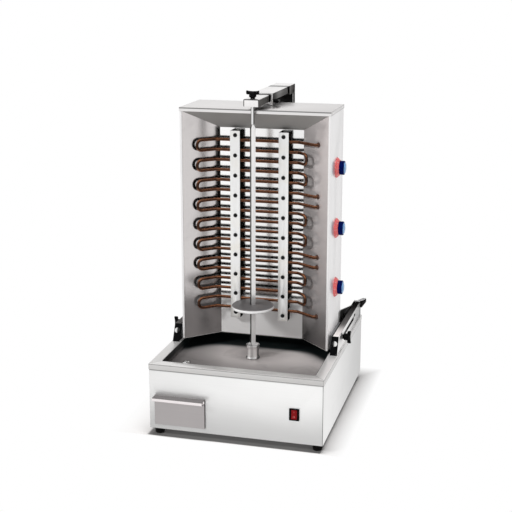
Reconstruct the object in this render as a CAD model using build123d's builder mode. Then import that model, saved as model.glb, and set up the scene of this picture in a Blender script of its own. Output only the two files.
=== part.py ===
from build123d import *
import math
import os

# Electric doner grill: a base cabinet with a drip pan and a fat drawer, a turning spit held at the
# top by a telescopic arm, and a heater housing that slides back on two slotted rails.
# Millimetres. Z is up, -Y is the cook's side, the origin is under the middle of the whole object.

# Base cabinet
base_width = 450.0
base_depth = 535.0
base_height = 172.0
sheet = 1.5
rim_sheet = 1.0
rim_lip = 15.0
rim_width = 26.0
rear_rim_width = 75.0
opening_corner = 6.0
foot_height = 20.0
foot_top_r = 14.0
foot_bottom_r = 12.0
foot_inset_x = 19.0
foot_inset_y = 25.0

# Drip pan and drain
pan_depth = 24.0
pan_sheet = 1.2
pan_flange = 12.0
drain_from_left = 70.0
drain_from_front = 95.0
drain_bore_r = 6.5
drain_wall = 1.5
drain_flange_r = 11.0
drain_length = 62.0

# Fat drawer
drawer_from_left = 15.5
drawer_width = 132.0
drawer_low = 13.0
drawer_height = 77.0
drawer_reach = 24.0
drawer_thick = 4.0
drawer_gap = 0.3
hem_r = 4.75
hem_wall = 1.5
tray_width = 118.0
tray_depth = 180.0
tray_low = 18.0
tray_height = 60.0
tray_wall = 1.2
tray_clear = 1.5
runner_top = 10.0
runner_side_gap = 1.0
runner_guide = 15.0
runner_length = 176.0

# Mains switch
switch_from_right = 73.0
switch_up = 75.5
bezel_width = 25.5
bezel_height = 31.0
bezel_thick = 2.0
switch_body_width = 21.5
switch_body_height = 27.5
switch_body_depth = 26.0
switch_cut_clear = 0.25
rocker_width = 14.0
rocker_height = 23.0
rocker_clear_x = 0.4
rocker_clear_z = 1.0
rocker_well = 10.0
rocker_tilt = 7.0
rocker_pivot_in = 3.0
rocker_proud = 7.0
rocker_dip = 1.8
rocker_keel = 4.0
rocker_bevel = 1.0
trunnion_r = 1.6
trunnion_length = 2.0
run_clear = 0.05

# Drive under the pan
spit_from_front = 174.0
shaft_r = 6.0
gear_size = 84.0
gear_height = 40.0
gear_corner = 8.0
gear_drop = 14.0
gear_boss_r = 15.0
gear_boss_height = 5.0
gear_bore_depth = 25.0
motor_r = 28.0
motor_length = 62.0
motor_cap_r = 20.0
motor_cap_height = 5.0
bracket_sheet = 3.0
bracket_inside = 66.0
bracket_length = 90.0
bracket_foot = 16.0
bracket_hole_clear = 1.0
bush_r = 11.0
bush_rise = 8.0
bush_flange_r = 20.0
bush_flange = 3.0
bush_tail = 5.0

# Spit
cup_lip_r = 18.2
cup_waist_r = 15.2
cup_lip = 4.0
cup_foot_gap = 1.0
cup_above_rim = 12.5
cup_skirt_r = 12.5
cup_skirt_above_bush = 2.0
cup_shaft_depth = 9.0
cup_web = 1.5
tang_side = 8.0
spit_side = 11.0
spit_turn = 35.0
spit_shoulder_gap = 4.0
spit_top_above_rim = 589.0
spit_point = 9.0
spit_pin_r = 2.5
spit_pin_length = 8.0
disc_r = 54.0
disc_above_rim = 121.0
disc_sheet = 2.0
disc_rim = 9.0
disc_hub_r = 13.0
disc_hub = 18.0
disc_clear = 0.15
pin_r = 2.5
pin_length = 38.0

# Arm over the spit
post_width = 54.0
post_depth = 25.0
post_wall = 3.0
post_from_rear = 12.0
arm_width = 40.0
arm_height = 19.0
arm_wall = 2.0
arm_corner = 3.0
arm_above_spit = 46.0
arm_front_ahead = 15.0
arm_rear_gap = 25.0
sleeve_sheet = 3.0
sleeve_side = 18.5
sleeve_from_front = 278.0
sleeve_tongue = 12.0
head_depth = 65.0
head_height = 24.0
collar_thick = 8.0
collar_drop = 8.0
collar_clear = 0.2
top_pin_r = 4.5
top_pin_nose = 1.0
top_pin_seat_gap = 0.4
top_pin_bore_depth = 10.0

# Wing knobs
wing_span = 33.0
wing_height = 10.0
wing_thick = 7.0
knob_height = 22.0
top_knob_height = 20.0
knob_stem_r = 6.0
knob_neck_r = 9.0
knob_foot = 2.2
knob_flare = 2.0
knob_dip = 0.22
wing_screw_r = 4.0
knob_gap = 0.3
lock_span = 20.0
lock_height = 17.0
lock_wing_height = 7.0
lock_wing_thick = 5.0
lock_stem_r = 3.2
lock_neck_r = 5.0
lock_screw_r = 2.5
lock_up_arm = 3.0

# Slotted rails
rail_width = 18.5
rail_height = 43.5
rail_wall = 2.5
rail_inset = 3.0
rail_from_front = 179.5
rail_from_rear = 18.0
rail_rake = 22.0
rail_cap_thick = 3.0
rear_cap_thick = 12.0
slot_above_rim = 26.0
slot_height = 9.0
slot_from_front = 252.0
slot_spare = 27.0
notch_gap = 3.0
notch_length = 20.0
notch_height = 7.0
notch_up = 4.5
lug_length = 30.0
lug_r = 6.5
lug_low = 23.0
lug_below_top = 0.5
lug_tip = 6.0
lug_root_in = 3.0
lug_nose_out = 5.5
lug_root = 2.0
rail_dome_r = 8.0
rail_dome_height = 3.0
rail_dome_taper = 35.0
rail_dome_up = 0.62

# Heater housing
housing_rail_gap = 7.5
housing_depth = 168.0
housing_from_front = 185.0
housing_lift = 8.0
housing_below_arm = 10.0
housing_post_gap = 15.0
cover_sheet = 1.2
cover_lip = 10.0
front_hem = 5.5
reflector_sheet = 1.2
wall_spread = 78.8
back_from_front = 262.0
roof_drop = 58.0
shoe_length = 115.0
shoe_from_front = 215.0
shoe_gap = 0.3
stay_sheet = 3.0
stay_front_height = 60.0
stay_rear_height = 21.0
stay_from_rear = 8.0
vent_count = 9
vent_pitch = 18.0
vent_length = 60.0
vent_width = 6.0

# Tubular heaters and their guard bars
heater_count = 3
runs_per_heater = 6
tube_r = 4.0
heater_off_back = 20.0
left_off_wall = 11.0
right_off_wall = 20.5
left_reach = 55.0
right_reach = 36.0
terminal_along = 67.4
terminal_off = 10.0
terminal_tail = 18.0
kink_r = 10.0
turn_flat = 0.4
terminal_r = 6.0
bar_from_edge = 47.2
bar_width = 26.0
bar_depth = 26.0
bar_sheet = 1.2
bar_top_margin = 11.0
bar_bottom_margin = 14.0
first_screw_drop = 15.5
last_screw_above_rim = 75.6
screw_head_r = 4.8
screw_head = 2.6
screw_shank_r = 2.2
notch_clear = 0.5
bushing_r = 6.5
bushing_length = 5.0

# Heat knobs
knob_count = 3
knob_from_front = 274.0
dial_r = 26.0
dial_top_r = 19.5
dial_thick = 8.0
dial_edge = 1.5
heat_knob_r = 17.5
heat_knob_length = 15.5
heat_knob_dome = 4.0
spindle_r = 3.0
spindle_clear = 1.0
spindle_in = 12.0
regulator_width = 38.0
regulator_height = 42.0
regulator_depth = 30.0
bore_past = 1.0

# Small inner pieces
block_length = 64.0
block_depth = 22.0
block_height = 20.0
block_from_side = 75.0
block_from_rear = 60.0
block_ways = 6
block_screw_r = 3.0
gland_from_side = 75.0
gland_up = 45.0
gland_bore_r = 4.5
gland_body_r = 9.0
gland_nut_r = 12.0
gland_reach = 20.0
gland_nut = 8.0
gland_inside = 8.0

# Places that follow from the sizes above
rear_reach = lug_length + rear_cap_thick - rail_from_rear
front_y = -(base_depth + rear_reach - drawer_reach) / 2
rear_y = front_y + base_depth
z_body = foot_height
z_rim = z_body + base_height
z_panel_top = z_rim - rim_sheet
z_floor = z_body + sheet
body_half = base_width / 2 - rim_sheet
inner_half = body_half - sheet
panel_front = front_y + rim_sheet
panel_rear = rear_y - rim_sheet
inner_front = panel_front + sheet
inner_rear = panel_rear - sheet
opening_half = base_width / 2 - rim_width
opening_front = front_y + rim_width
opening_rear = rear_y - rear_rim_width
opening_depth = opening_rear - opening_front
opening_y = (opening_front + opening_rear) / 2
z_pan = z_rim - pan_depth
drain_x = drain_from_left - base_width / 2
drain_y = front_y + drain_from_front
spit_y = front_y + spit_from_front
z_gear = z_pan - pan_sheet - gear_drop
z_boss = z_gear + gear_boss_height
z_bracket = z_gear - gear_height
drawer_x = drawer_from_left + drawer_width / 2 - base_width / 2
drawer_back = panel_front - drawer_gap
drawer_face = drawer_back - drawer_thick
drawer_tip = front_y - drawer_reach
z_drawer_top = z_body + drawer_low + drawer_height
z_tray = z_body + tray_low
switch_x = base_width / 2 - switch_from_right
switch_z = z_body + switch_up
z_cup = z_pan + cup_foot_gap
z_cup_top = z_rim + cup_above_rim
z_skirt = z_pan + bush_rise + cup_skirt_above_bush
z_shaft_top = z_skirt + cup_shaft_depth
z_tang = z_shaft_top + cup_web
z_shoulder = z_cup_top + spit_shoulder_gap
z_spit_top = z_rim + spit_top_above_rim
z_disc = z_rim + disc_above_rim
z_disc_pin = z_disc - disc_hub - pin_r
z_arm = z_spit_top + arm_above_spit
z_arm_top = z_arm + arm_height
z_sleeve_top = z_arm_top + sleeve_sheet
sleeve_front = front_y + sleeve_from_front
post_rear = rear_y - post_from_rear
head_front = post_rear - head_depth
sleeve_rear = head_front - sleeve_tongue
sleeve_length = sleeve_rear - sleeve_front
z_head = z_sleeve_top - head_height
arm_front = spit_y - arm_front_ahead
arm_length = sleeve_rear - arm_rear_gap - arm_front
rail_out = base_width / 2 - rail_inset
rail_in = rail_out - rail_width
rail_front = front_y + rail_from_front
rail_length = base_depth - rail_from_front - rail_from_rear
rail_rear = rail_front + rail_length
z_rail_top = z_rim + rail_height
z_slot = z_rim + slot_above_rim
housing_half = rail_in - housing_rail_gap
housing_front = front_y + housing_from_front
housing_rear = housing_front + housing_depth
z_housing = z_rim + housing_lift
z_housing_top = z_arm - housing_below_arm
housing_travel = post_rear - post_depth - housing_post_gap - housing_rear
slot_length = housing_travel + slot_height + slot_spare
z_cover = z_housing_top - cover_sheet
niche_half = housing_half - front_hem
niche_front = housing_front + sheet
back_half = niche_half - wall_spread
back_y = front_y + back_from_front
z_niche = z_housing + sheet
z_back_top = z_housing_top - roof_drop
z_front_top = z_housing_top - cover_lip
wall_length = math.hypot(niche_half - back_half, back_y - niche_front)
wall_along = ((niche_half - back_half) / wall_length, (niche_front - back_y) / wall_length)
wall_out = (-wall_along[1], wall_along[0])
top_slope = (z_front_top - z_back_top) / (back_y - niche_front)
heater_y = back_y - heater_off_back
left_bend = (heater_off_back - left_off_wall * wall_out[1]) / -wall_along[1]
left_bend_x = back_half - left_off_wall * wall_out[0] + left_bend * wall_along[0]
right_bend = (heater_off_back - right_off_wall * wall_out[1]) / -wall_along[1]
right_bend_x = back_half - right_off_wall * wall_out[0] + right_bend * wall_along[0]
bar_x = back_half - bar_from_edge
screw_count = heater_count * runs_per_heater // 2 + 1
z_first_screw = z_back_top - first_screw_drop
run_pitch = (z_first_screw - z_rim - last_screw_above_rim) / (2 * (screw_count - 1))
screw_pitch = 2 * run_pitch
turn_r = run_pitch / 2 - turn_flat
z_first_run = z_first_screw - run_pitch / 2
bar_front = back_y - bar_depth
z_bar_top = z_first_screw + bar_top_margin
z_bar = z_first_screw - (screw_count - 1) * screw_pitch - bar_bottom_margin
knob_y = front_y + knob_from_front
knob_pitch = runs_per_heater * run_pitch
z_top_knob = z_first_run - (runs_per_heater - 1) / 2 * run_pitch
rail_knob_y = front_y + slot_from_front + slot_height / 2 + knob_gap
dial_out = housing_half + dial_thick
block_x = base_width / 2 - block_from_side
gland_x = base_width / 2 - gland_from_side

os.makedirs("parts", exist_ok=True)


def save(part, name):
    part.label = name
    export_step(part, f"parts/{name}.step")


# A sheet standing across the object is drawn on this plane and extruded towards the cook.
def facing_front(y):
    return Plane.XZ.offset(-y)


# Half outlines of turned pieces: the first number is the radius, the second runs along the axis.
def upright_axis(x, y):
    return Plane(origin=(x, y, 0), x_dir=(1, 0, 0), z_dir=(0, -1, 0))


def sideways_axis(y, z):
    return Plane(origin=(0, y, z), x_dir=(0, 0, 1), z_dir=(0, 1, 0))


def rectangle(x0, y0, x1, y1, mode=Mode.ADD):
    with Locations(((x0 + x1) / 2, (y0 + y1) / 2)):
        Rectangle(x1 - x0, y1 - y0, mode=mode)


# Base cabinet panels
with BuildPart() as base_front_panel:
    with BuildSketch(facing_front(inner_front)):
        rectangle(-body_half, z_body, body_half, z_panel_top)
        cut_half = tray_width / 2 + tray_clear
        rectangle(drawer_x - cut_half, z_tray - tray_clear, drawer_x + cut_half,
                  z_tray + tray_height + tray_clear, Mode.SUBTRACT)
        with Locations((switch_x, switch_z)):
            Rectangle(switch_body_width + 2 * switch_cut_clear, switch_body_height + 2 * switch_cut_clear,
                      mode=Mode.SUBTRACT)
    extrude(amount=sheet)
save(base_front_panel.part, "base_front_panel")

with BuildPart() as base_side_panels:
    with BuildSketch(Plane.YZ.offset(inner_half)):
        rectangle(inner_front, z_body, inner_rear, z_panel_top)
    extrude(amount=sheet)
    mirror(about=Plane.YZ)
save(base_side_panels.part, "base_side_panels")

with BuildPart() as base_rear_panel:
    with BuildSketch(facing_front(panel_rear)):
        rectangle(-body_half, z_body, body_half, z_panel_top)
        with Locations((gland_x, z_body + gland_up)):
            Circle(gland_body_r + run_clear, mode=Mode.SUBTRACT)
        with Locations((0, (z_body + z_panel_top) / 2)):
            with GridLocations(vent_pitch, 0, vent_count, 1):
                SlotOverall(vent_length, vent_width, rotation=90, mode=Mode.SUBTRACT)
    extrude(amount=sheet)
save(base_rear_panel.part, "base_rear_panel")

with BuildPart() as base_floor:
    with BuildSketch(Plane.XY.offset(z_body)):
        rectangle(-inner_half, inner_front, inner_half, inner_rear)
    extrude(amount=sheet)
save(base_floor.part, "base_floor")

with BuildPart() as rubber_feet:
    foot_x = base_width / 2 - foot_inset_x
    foot_span_y = base_depth - 2 * foot_inset_y
    with BuildSketch(Plane.XY):
        with Locations((0, (front_y + rear_y) / 2)):
            with GridLocations(2 * foot_x, foot_span_y, 2, 2):
                Circle(foot_bottom_r)
    extrude(amount=foot_height, taper=-math.degrees(math.atan((foot_top_r - foot_bottom_r) / foot_height)))
save(rubber_feet.part, "rubber_feet")

with BuildPart() as top_rim:
    with BuildSketch(Plane.XY.offset(z_panel_top)):
        rectangle(-base_width / 2, front_y, base_width / 2, rear_y)
        with Locations((0, opening_y)):
            RectangleRounded(2 * opening_half, opening_depth, opening_corner, mode=Mode.SUBTRACT)
    extrude(amount=rim_sheet)
    with BuildSketch(Plane.XY.offset(z_rim - rim_lip)):
        rectangle(-base_width / 2, front_y, base_width / 2, rear_y)
        rectangle(-body_half, panel_front, body_half, panel_rear, Mode.SUBTRACT)
    extrude(amount=rim_lip - rim_sheet)
save(top_rim.part, "top_rim")

# Drip pan hung under the rim, with its drain and the seal round the drive shaft
with BuildPart() as drip_pan:
    with BuildSketch(Plane.XY.offset(z_pan - pan_sheet)):
        with Locations((0, opening_y)):
            RectangleRounded(2 * opening_half, opening_depth, opening_corner)
        with Locations((0, spit_y)):
            Circle(bush_r + run_clear, mode=Mode.SUBTRACT)
        with Locations((drain_x, drain_y)):
            Circle(drain_bore_r + drain_wall + run_clear, mode=Mode.SUBTRACT)
    extrude(amount=pan_sheet)
    with BuildSketch(Plane.XY.offset(z_pan)):
        with Locations((0, opening_y)):
            RectangleRounded(2 * opening_half, opening_depth, opening_corner)
            RectangleRounded(2 * (opening_half - pan_sheet), opening_depth - 2 * pan_sheet,
                             opening_corner - pan_sheet, mode=Mode.SUBTRACT)
    extrude(amount=z_panel_top - z_pan)
    with BuildSketch(Plane.XY.offset(z_panel_top - pan_sheet)):
        with Locations((0, opening_y)):
            RectangleRounded(2 * (opening_half + pan_flange), opening_depth + 2 * pan_flange,
                             opening_corner + pan_flange)
            RectangleRounded(2 * (opening_half - pan_sheet), opening_depth - 2 * pan_sheet,
                             opening_corner - pan_sheet, mode=Mode.SUBTRACT)
    extrude(amount=pan_sheet)
save(drip_pan.part, "drip_pan")

with BuildPart() as drain_spout:
    drain_axis = upright_axis(drain_x, drain_y)
    drain_out_r = drain_bore_r + drain_wall
    with BuildSketch(drain_axis):
        with BuildLine():
            Polyline((drain_bore_r, z_pan + drain_wall), (drain_flange_r, z_pan + drain_wall / 3),
                     (drain_flange_r, z_pan), (drain_out_r, z_pan),
                     (drain_out_r, z_pan - drain_length), (drain_bore_r, z_pan - drain_length), close=True)
        make_face()
    revolve(axis=Axis(drain_axis.origin, drain_axis.y_dir))
save(drain_spout.part, "drain_spout")

with BuildPart() as shaft_bush:
    spit_axis = upright_axis(0, spit_y)
    z_under_pan = z_pan - pan_sheet
    with BuildSketch(spit_axis):
        with BuildLine():
            Polyline((shaft_r + run_clear, z_pan + bush_rise), (bush_r, z_pan + bush_rise),
                     (bush_r, z_under_pan), (bush_flange_r, z_under_pan),
                     (bush_flange_r, z_under_pan - bush_flange), (bush_r, z_under_pan - bush_flange),
                     (bush_r, z_under_pan - bush_flange - bush_tail),
                     (shaft_r + run_clear, z_under_pan - bush_flange - bush_tail), close=True)
        make_face()
    revolve(axis=Axis(spit_axis.origin, spit_axis.y_dir))
save(shaft_bush.part, "shaft_bush")

# Fat drawer: a folded front with a rolled pull, a tray, and the runners it slides on
with BuildPart() as drawer_front:
    with BuildSketch(Plane.YZ.offset(drawer_x)):
        rectangle(drawer_face, z_body + drawer_low, drawer_back, z_drawer_top)
        rectangle(drawer_tip + hem_r, z_drawer_top - hem_wall, drawer_back, z_drawer_top)
        with Locations((drawer_tip + hem_r, z_drawer_top - hem_r)):
            Circle(hem_r)
            Circle(hem_r - hem_wall, mode=Mode.SUBTRACT)
    extrude(amount=drawer_width / 2, both=True)
save(drawer_front.part, "drawer_front")

with BuildPart() as drawer_tray:
    with BuildSketch(Plane.XY.offset(z_tray)):
        tray_half = tray_width / 2
        rectangle(drawer_x - tray_half, drawer_back, drawer_x + tray_half, drawer_back + tray_depth)
    extrude(amount=tray_height)
    tray_top = drawer_tray.faces().sort_by(Axis.Z)[-1]
    offset(amount=-tray_wall, openings=tray_top)
save(drawer_tray.part, "drawer_tray")

with BuildPart() as drawer_runners:
    tray_side = drawer_x + tray_width / 2
    runner_web = tray_side + runner_side_gap
    z_runner = z_tray - drawer_gap
    with BuildSketch(facing_front(inner_front)):
        rectangle(runner_web, z_floor, runner_web + sheet, z_tray + runner_guide)
        rectangle(tray_side - runner_top, z_runner - sheet, runner_web, z_runner)
    extrude(amount=-runner_length)
    mirror(about=Plane.YZ.offset(drawer_x))
save(drawer_runners.part, "drawer_runners")

# Mains rocker switch
with BuildPart() as switch_body:
    with BuildSketch(facing_front(panel_front)):
        with Locations((switch_x, switch_z)):
            RectangleRounded(bezel_width, bezel_height, bezel_thick)
    extrude(amount=bezel_thick)
    with BuildSketch(facing_front(panel_front)):
        with Locations((switch_x, switch_z)):
            Rectangle(switch_body_width, switch_body_height)
    extrude(amount=-switch_body_depth)
    with BuildSketch(facing_front(panel_front - bezel_thick)):
        with Locations((switch_x, switch_z)):
            Rectangle(rocker_width + 2 * rocker_clear_x, rocker_height + 2 * rocker_clear_z)
    extrude(amount=-(rocker_well + bezel_thick), mode=Mode.SUBTRACT)
    with BuildSketch(Plane.YZ.offset(switch_x)):
        with Locations((panel_front + rocker_pivot_in, switch_z)):
            Circle(trunnion_r + run_clear)
    extrude(amount=rocker_width / 2 + rocker_clear_x + trunnion_length, both=True, mode=Mode.SUBTRACT)
save(switch_body.part, "switch_body")

with BuildPart() as switch_rocker:
    tilt = math.radians(rocker_tilt)
    rocker_plane = Plane(origin=(switch_x, panel_front + rocker_pivot_in, switch_z),
                         x_dir=(0, math.cos(tilt), -math.sin(tilt)), z_dir=(1, 0, 0))
    with BuildSketch(rocker_plane):
        with BuildLine():
            Polyline((-rocker_proud, rocker_height / 2), (-rocker_proud + rocker_dip, 0),
                     (-rocker_proud, -rocker_height / 2), (rocker_bevel, rocker_bevel - rocker_height / 2),
                     (rocker_keel, 0), (rocker_bevel, rocker_height / 2 - rocker_bevel), close=True)
        make_face()
    extrude(amount=rocker_width / 2, both=True)
    with BuildSketch(rocker_plane):
        Circle(trunnion_r)
    extrude(amount=rocker_width / 2 + rocker_clear_x + trunnion_length - run_clear, both=True)
save(switch_rocker.part, "switch_rocker")

# Gear motor on its hat bracket
with BuildPart() as gear_motor:
    with BuildSketch(Plane.XY.offset(z_bracket)):
        with Locations((0, spit_y)):
            RectangleRounded(gear_size, gear_size, gear_corner)
    extrude(amount=gear_height)
    with BuildSketch(Plane.XY.offset(z_gear)):
        with Locations((0, spit_y)):
            Circle(gear_boss_r)
    extrude(amount=gear_boss_height)
    with BuildSketch(Plane.XY.offset(z_bracket)):
        with Locations((0, spit_y)):
            Circle(motor_r)
    extrude(amount=-motor_length)
    with BuildSketch(Plane.XY.offset(z_bracket - motor_length)):
        with Locations((0, spit_y)):
            Circle(motor_cap_r)
    extrude(amount=-motor_cap_height)
    with BuildSketch(Plane.XY.offset(z_boss)):
        with Locations((0, spit_y)):
            Circle(shaft_r + run_clear)
    extrude(amount=-gear_bore_depth, mode=Mode.SUBTRACT)
save(gear_motor.part, "gear_motor")

with BuildPart() as motor_bracket:
    leg_in = bracket_inside / 2
    leg_out = leg_in + bracket_sheet
    with BuildSketch(facing_front(spit_y)):
        rectangle(-leg_out, z_bracket - bracket_sheet, leg_out, z_bracket)
        rectangle(leg_in, z_floor, leg_out, z_bracket)
        rectangle(-leg_out, z_floor, -leg_in, z_bracket)
        rectangle(leg_in, z_floor, leg_out + bracket_foot, z_floor + bracket_sheet)
        rectangle(-leg_out - bracket_foot, z_floor, -leg_in, z_floor + bracket_sheet)
    extrude(amount=bracket_length / 2, both=True)
    with BuildSketch(Plane.XY.offset(z_bracket)):
        with Locations((0, spit_y)):
            Circle(motor_r + bracket_hole_clear)
    extrude(amount=-bracket_sheet, mode=Mode.SUBTRACT)
save(motor_bracket.part, "motor_bracket")

# Spit, turned from below: shaft, cup, square bar, meat disc and the pin that carries the disc
with BuildPart() as drive_shaft:
    with BuildSketch(Plane.XY.offset(z_boss - gear_bore_depth + run_clear)):
        with Locations((0, spit_y)):
            Circle(shaft_r)
    extrude(amount=z_shaft_top - z_boss + gear_bore_depth - run_clear)
save(drive_shaft.part, "drive_shaft")

with BuildPart() as drive_cup:
    with BuildSketch(spit_axis):
        with BuildLine():
            Polyline((0, z_cup_top), (cup_lip_r, z_cup_top), (cup_lip_r, z_cup_top - cup_lip),
                     (cup_waist_r, z_cup_top - 2 * cup_lip), (cup_waist_r, z_cup + cup_lip),
                     (cup_lip_r, z_cup + cup_lip / 2), (cup_lip_r, z_cup), (cup_skirt_r, z_cup),
                     (cup_skirt_r, z_skirt), (shaft_r + run_clear, z_skirt),
                     (shaft_r + run_clear, z_shaft_top), (0, z_shaft_top), close=True)
        make_face()
    revolve(axis=Axis(spit_axis.origin, spit_axis.y_dir))
    with BuildSketch(Plane.XY.offset(z_tang)):
        with Locations((0, spit_y)):
            Rectangle(tang_side + 2 * run_clear, tang_side + 2 * run_clear, rotation=spit_turn)
    extrude(amount=z_cup_top - z_tang, mode=Mode.SUBTRACT)
save(drive_cup.part, "drive_cup")

with BuildPart() as spit_bar:
    z_point = z_spit_top - spit_point
    with BuildSketch(Plane.XY.offset(z_tang)):
        with Locations((0, spit_y)):
            Rectangle(tang_side, tang_side, rotation=spit_turn)
    extrude(amount=z_shoulder - z_tang)
    with BuildSketch(Plane.XY.offset(z_shoulder)):
        with Locations((0, spit_y)):
            Rectangle(spit_side, spit_side, rotation=spit_turn)
    extrude(amount=z_point - z_shoulder)
    with BuildSketch(Plane.XY.offset(z_point)):
        with Locations((0, spit_y)):
            Rectangle(spit_side, spit_side, rotation=spit_turn)
    with BuildSketch(Plane.XY.offset(z_spit_top)):
        with Locations((0, spit_y)):
            Rectangle(2 * spit_pin_r, 2 * spit_pin_r, rotation=spit_turn)
    loft(ruled=True)
    with BuildSketch(Plane.XY.offset(z_spit_top)):
        with Locations((0, spit_y)):
            Circle(spit_pin_r)
    extrude(amount=spit_pin_length)
    with BuildSketch(Plane(origin=(0, spit_y, z_disc_pin), x_dir=(0, 0, 1),
                           z_dir=(math.cos(math.radians(spit_turn)), math.sin(math.radians(spit_turn)), 0))):
        Circle(pin_r + run_clear)
    extrude(amount=spit_side, both=True, mode=Mode.SUBTRACT)
save(spit_bar.part, "spit_bar")

with BuildPart() as meat_disc:
    with BuildSketch(spit_axis):
        with BuildLine():
            Polyline((0, z_disc), (disc_r - disc_sheet, z_disc), (disc_r, z_disc - disc_sheet),
                     (disc_r, z_disc - disc_rim), (disc_r - disc_sheet, z_disc - disc_rim),
                     (disc_r - disc_sheet, z_disc - disc_sheet), (disc_hub_r, z_disc - disc_sheet),
                     (disc_hub_r, z_disc - disc_hub), (0, z_disc - disc_hub), close=True)
        make_face()
    revolve(axis=Axis(spit_axis.origin, spit_axis.y_dir))
    with BuildSketch(Plane.XY.offset(z_disc - disc_hub)):
        with Locations((0, spit_y)):
            Rectangle(spit_side + 2 * disc_clear, spit_side + 2 * disc_clear, rotation=spit_turn)
    extrude(amount=disc_hub, mode=Mode.SUBTRACT)
save(meat_disc.part, "meat_disc")

with BuildPart() as disc_pin:
    with BuildSketch(Plane(origin=(0, spit_y, z_disc_pin), x_dir=(0, 0, 1),
                           z_dir=(math.cos(math.radians(spit_turn)), math.sin(math.radians(spit_turn)), 0))):
        Circle(pin_r)
    extrude(amount=pin_length / 2, both=True)
save(disc_pin.part, "disc_pin")

# Arm: a post at the rear, its head, a sleeve with a collar, and the arm that slides in them
with BuildPart() as arm_post:
    post_y = post_rear - post_depth / 2
    with BuildSketch(Plane.XY.offset(z_rim)):
        with Locations((0, post_y)):
            RectangleRounded(post_width, post_depth, post_wall)
            Rectangle(post_width - 2 * post_wall, post_depth - 2 * post_wall, mode=Mode.SUBTRACT)
    extrude(amount=z_head - z_rim)
save(arm_post.part, "arm_post")

with BuildPart() as arm_head:
    with BuildSketch(Plane.YZ):
        rectangle(head_front, z_head, post_rear, z_sleeve_top)
    extrude(amount=post_width / 2, both=True)
    fillet(arm_head.edges().filter_by(Axis.Z).group_by(Axis.Y)[-1], post_wall)
save(arm_head.part, "arm_head")

with BuildPart() as arm_sleeve:
    sleeve_half = post_width / 2
    with BuildSketch(facing_front(sleeve_front)):
        rectangle(-sleeve_half, z_sleeve_top - sleeve_side, sleeve_half, z_sleeve_top)
        rectangle(-sleeve_half + sleeve_sheet, z_sleeve_top - sleeve_side, sleeve_half - sleeve_sheet,
                  z_arm_top, Mode.SUBTRACT)
    extrude(amount=-sleeve_length)
    with BuildSketch(Plane.XY.offset(z_arm_top)):
        rectangle(-sleeve_half, sleeve_rear, sleeve_half, head_front)
    extrude(amount=sleeve_sheet)
save(arm_sleeve.part, "arm_sleeve")

with BuildPart() as arm_collar:
    lock_y = sleeve_front - collar_thick / 2
    z_lock = z_arm + lock_up_arm
    with BuildSketch(facing_front(sleeve_front)):
        rectangle(-sleeve_half, z_arm - collar_drop, sleeve_half, z_sleeve_top)
        rectangle(-arm_width / 2 - collar_clear, z_arm - collar_clear, arm_width / 2 + collar_clear,
                  z_arm_top + collar_clear, Mode.SUBTRACT)
    extrude(amount=collar_thick)
    with BuildSketch(Plane.YZ):
        with Locations((lock_y, z_lock)):
            Circle(lock_screw_r + run_clear)
    extrude(amount=sleeve_half, mode=Mode.SUBTRACT)
save(arm_collar.part, "arm_collar")

with BuildPart() as inner_arm:
    with BuildSketch(facing_front(arm_front)):
        with Locations((0, z_arm + arm_height / 2)):
            RectangleRounded(arm_width, arm_height, arm_corner)
    extrude(amount=-arm_length)
    with BuildSketch(facing_front(arm_front + arm_wall)):
        with Locations((0, z_arm + arm_height / 2)):
            Rectangle(arm_width - 2 * arm_wall, arm_height - 2 * arm_wall)
    extrude(amount=-arm_length, mode=Mode.SUBTRACT)
    with BuildSketch(Plane.XY.offset(z_arm)):
        with Locations((0, spit_y)):
            Circle(top_pin_r + run_clear)
    extrude(amount=arm_height, mode=Mode.SUBTRACT)
save(inner_arm.part, "inner_arm")


# A wing knob stands on the given plane, along its normal, with a bore in its foot or a screw below it.
def wing_knob(seat, span, height, wing, thick, stem_r, neck_r, bore_r, bore_depth, screw_r, screw_length):
    z_wing = height - wing
    side = Plane(origin=seat.origin, x_dir=seat.x_dir, z_dir=-seat.y_dir)
    with BuildPart() as knob:
        with BuildSketch(side):
            with BuildLine():
                Polyline((0, 0), (stem_r, 0), (stem_r, knob_foot), (neck_r, knob_foot + knob_flare),
                         (neck_r, z_wing + wing / 2), (0, z_wing + wing / 2), close=True)
            make_face()
        revolve(axis=Axis(seat.origin, seat.z_dir))
        with BuildSketch(side):
            with Locations((0, z_wing + wing / 2)):
                RectangleRounded(span, wing, wing * 0.22)
            with Locations((0, z_wing + wing)):
                Ellipse(span * 0.36, wing * knob_dip, mode=Mode.SUBTRACT)
        extrude(amount=thick / 2, both=True)
        if bore_r > 0:
            with BuildSketch(seat):
                Circle(bore_r)
            extrude(amount=bore_depth, mode=Mode.SUBTRACT)
        if screw_r > 0:
            with BuildSketch(seat):
                Circle(screw_r)
            extrude(amount=-screw_length)
    return knob


# Top pin through the arm, with its knob
with BuildPart() as top_pin:
    z_pin_foot = z_spit_top + top_pin_seat_gap
    z_knob_seat = z_arm_top + knob_gap
    z_pin_top = z_knob_seat + (top_knob_height - wing_height) / 2
    with BuildSketch(spit_axis):
        with BuildLine():
            Polyline((spit_pin_r + run_clear, z_pin_foot), (top_pin_r - top_pin_nose, z_pin_foot),
                     (top_pin_r, z_pin_foot + top_pin_nose), (top_pin_r, z_pin_top), (0, z_pin_top),
                     (0, z_pin_foot + top_pin_bore_depth),
                     (spit_pin_r + run_clear, z_pin_foot + top_pin_bore_depth), close=True)
        make_face()
    revolve(axis=Axis(spit_axis.origin, spit_axis.y_dir))
save(top_pin.part, "top_pin")

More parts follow.
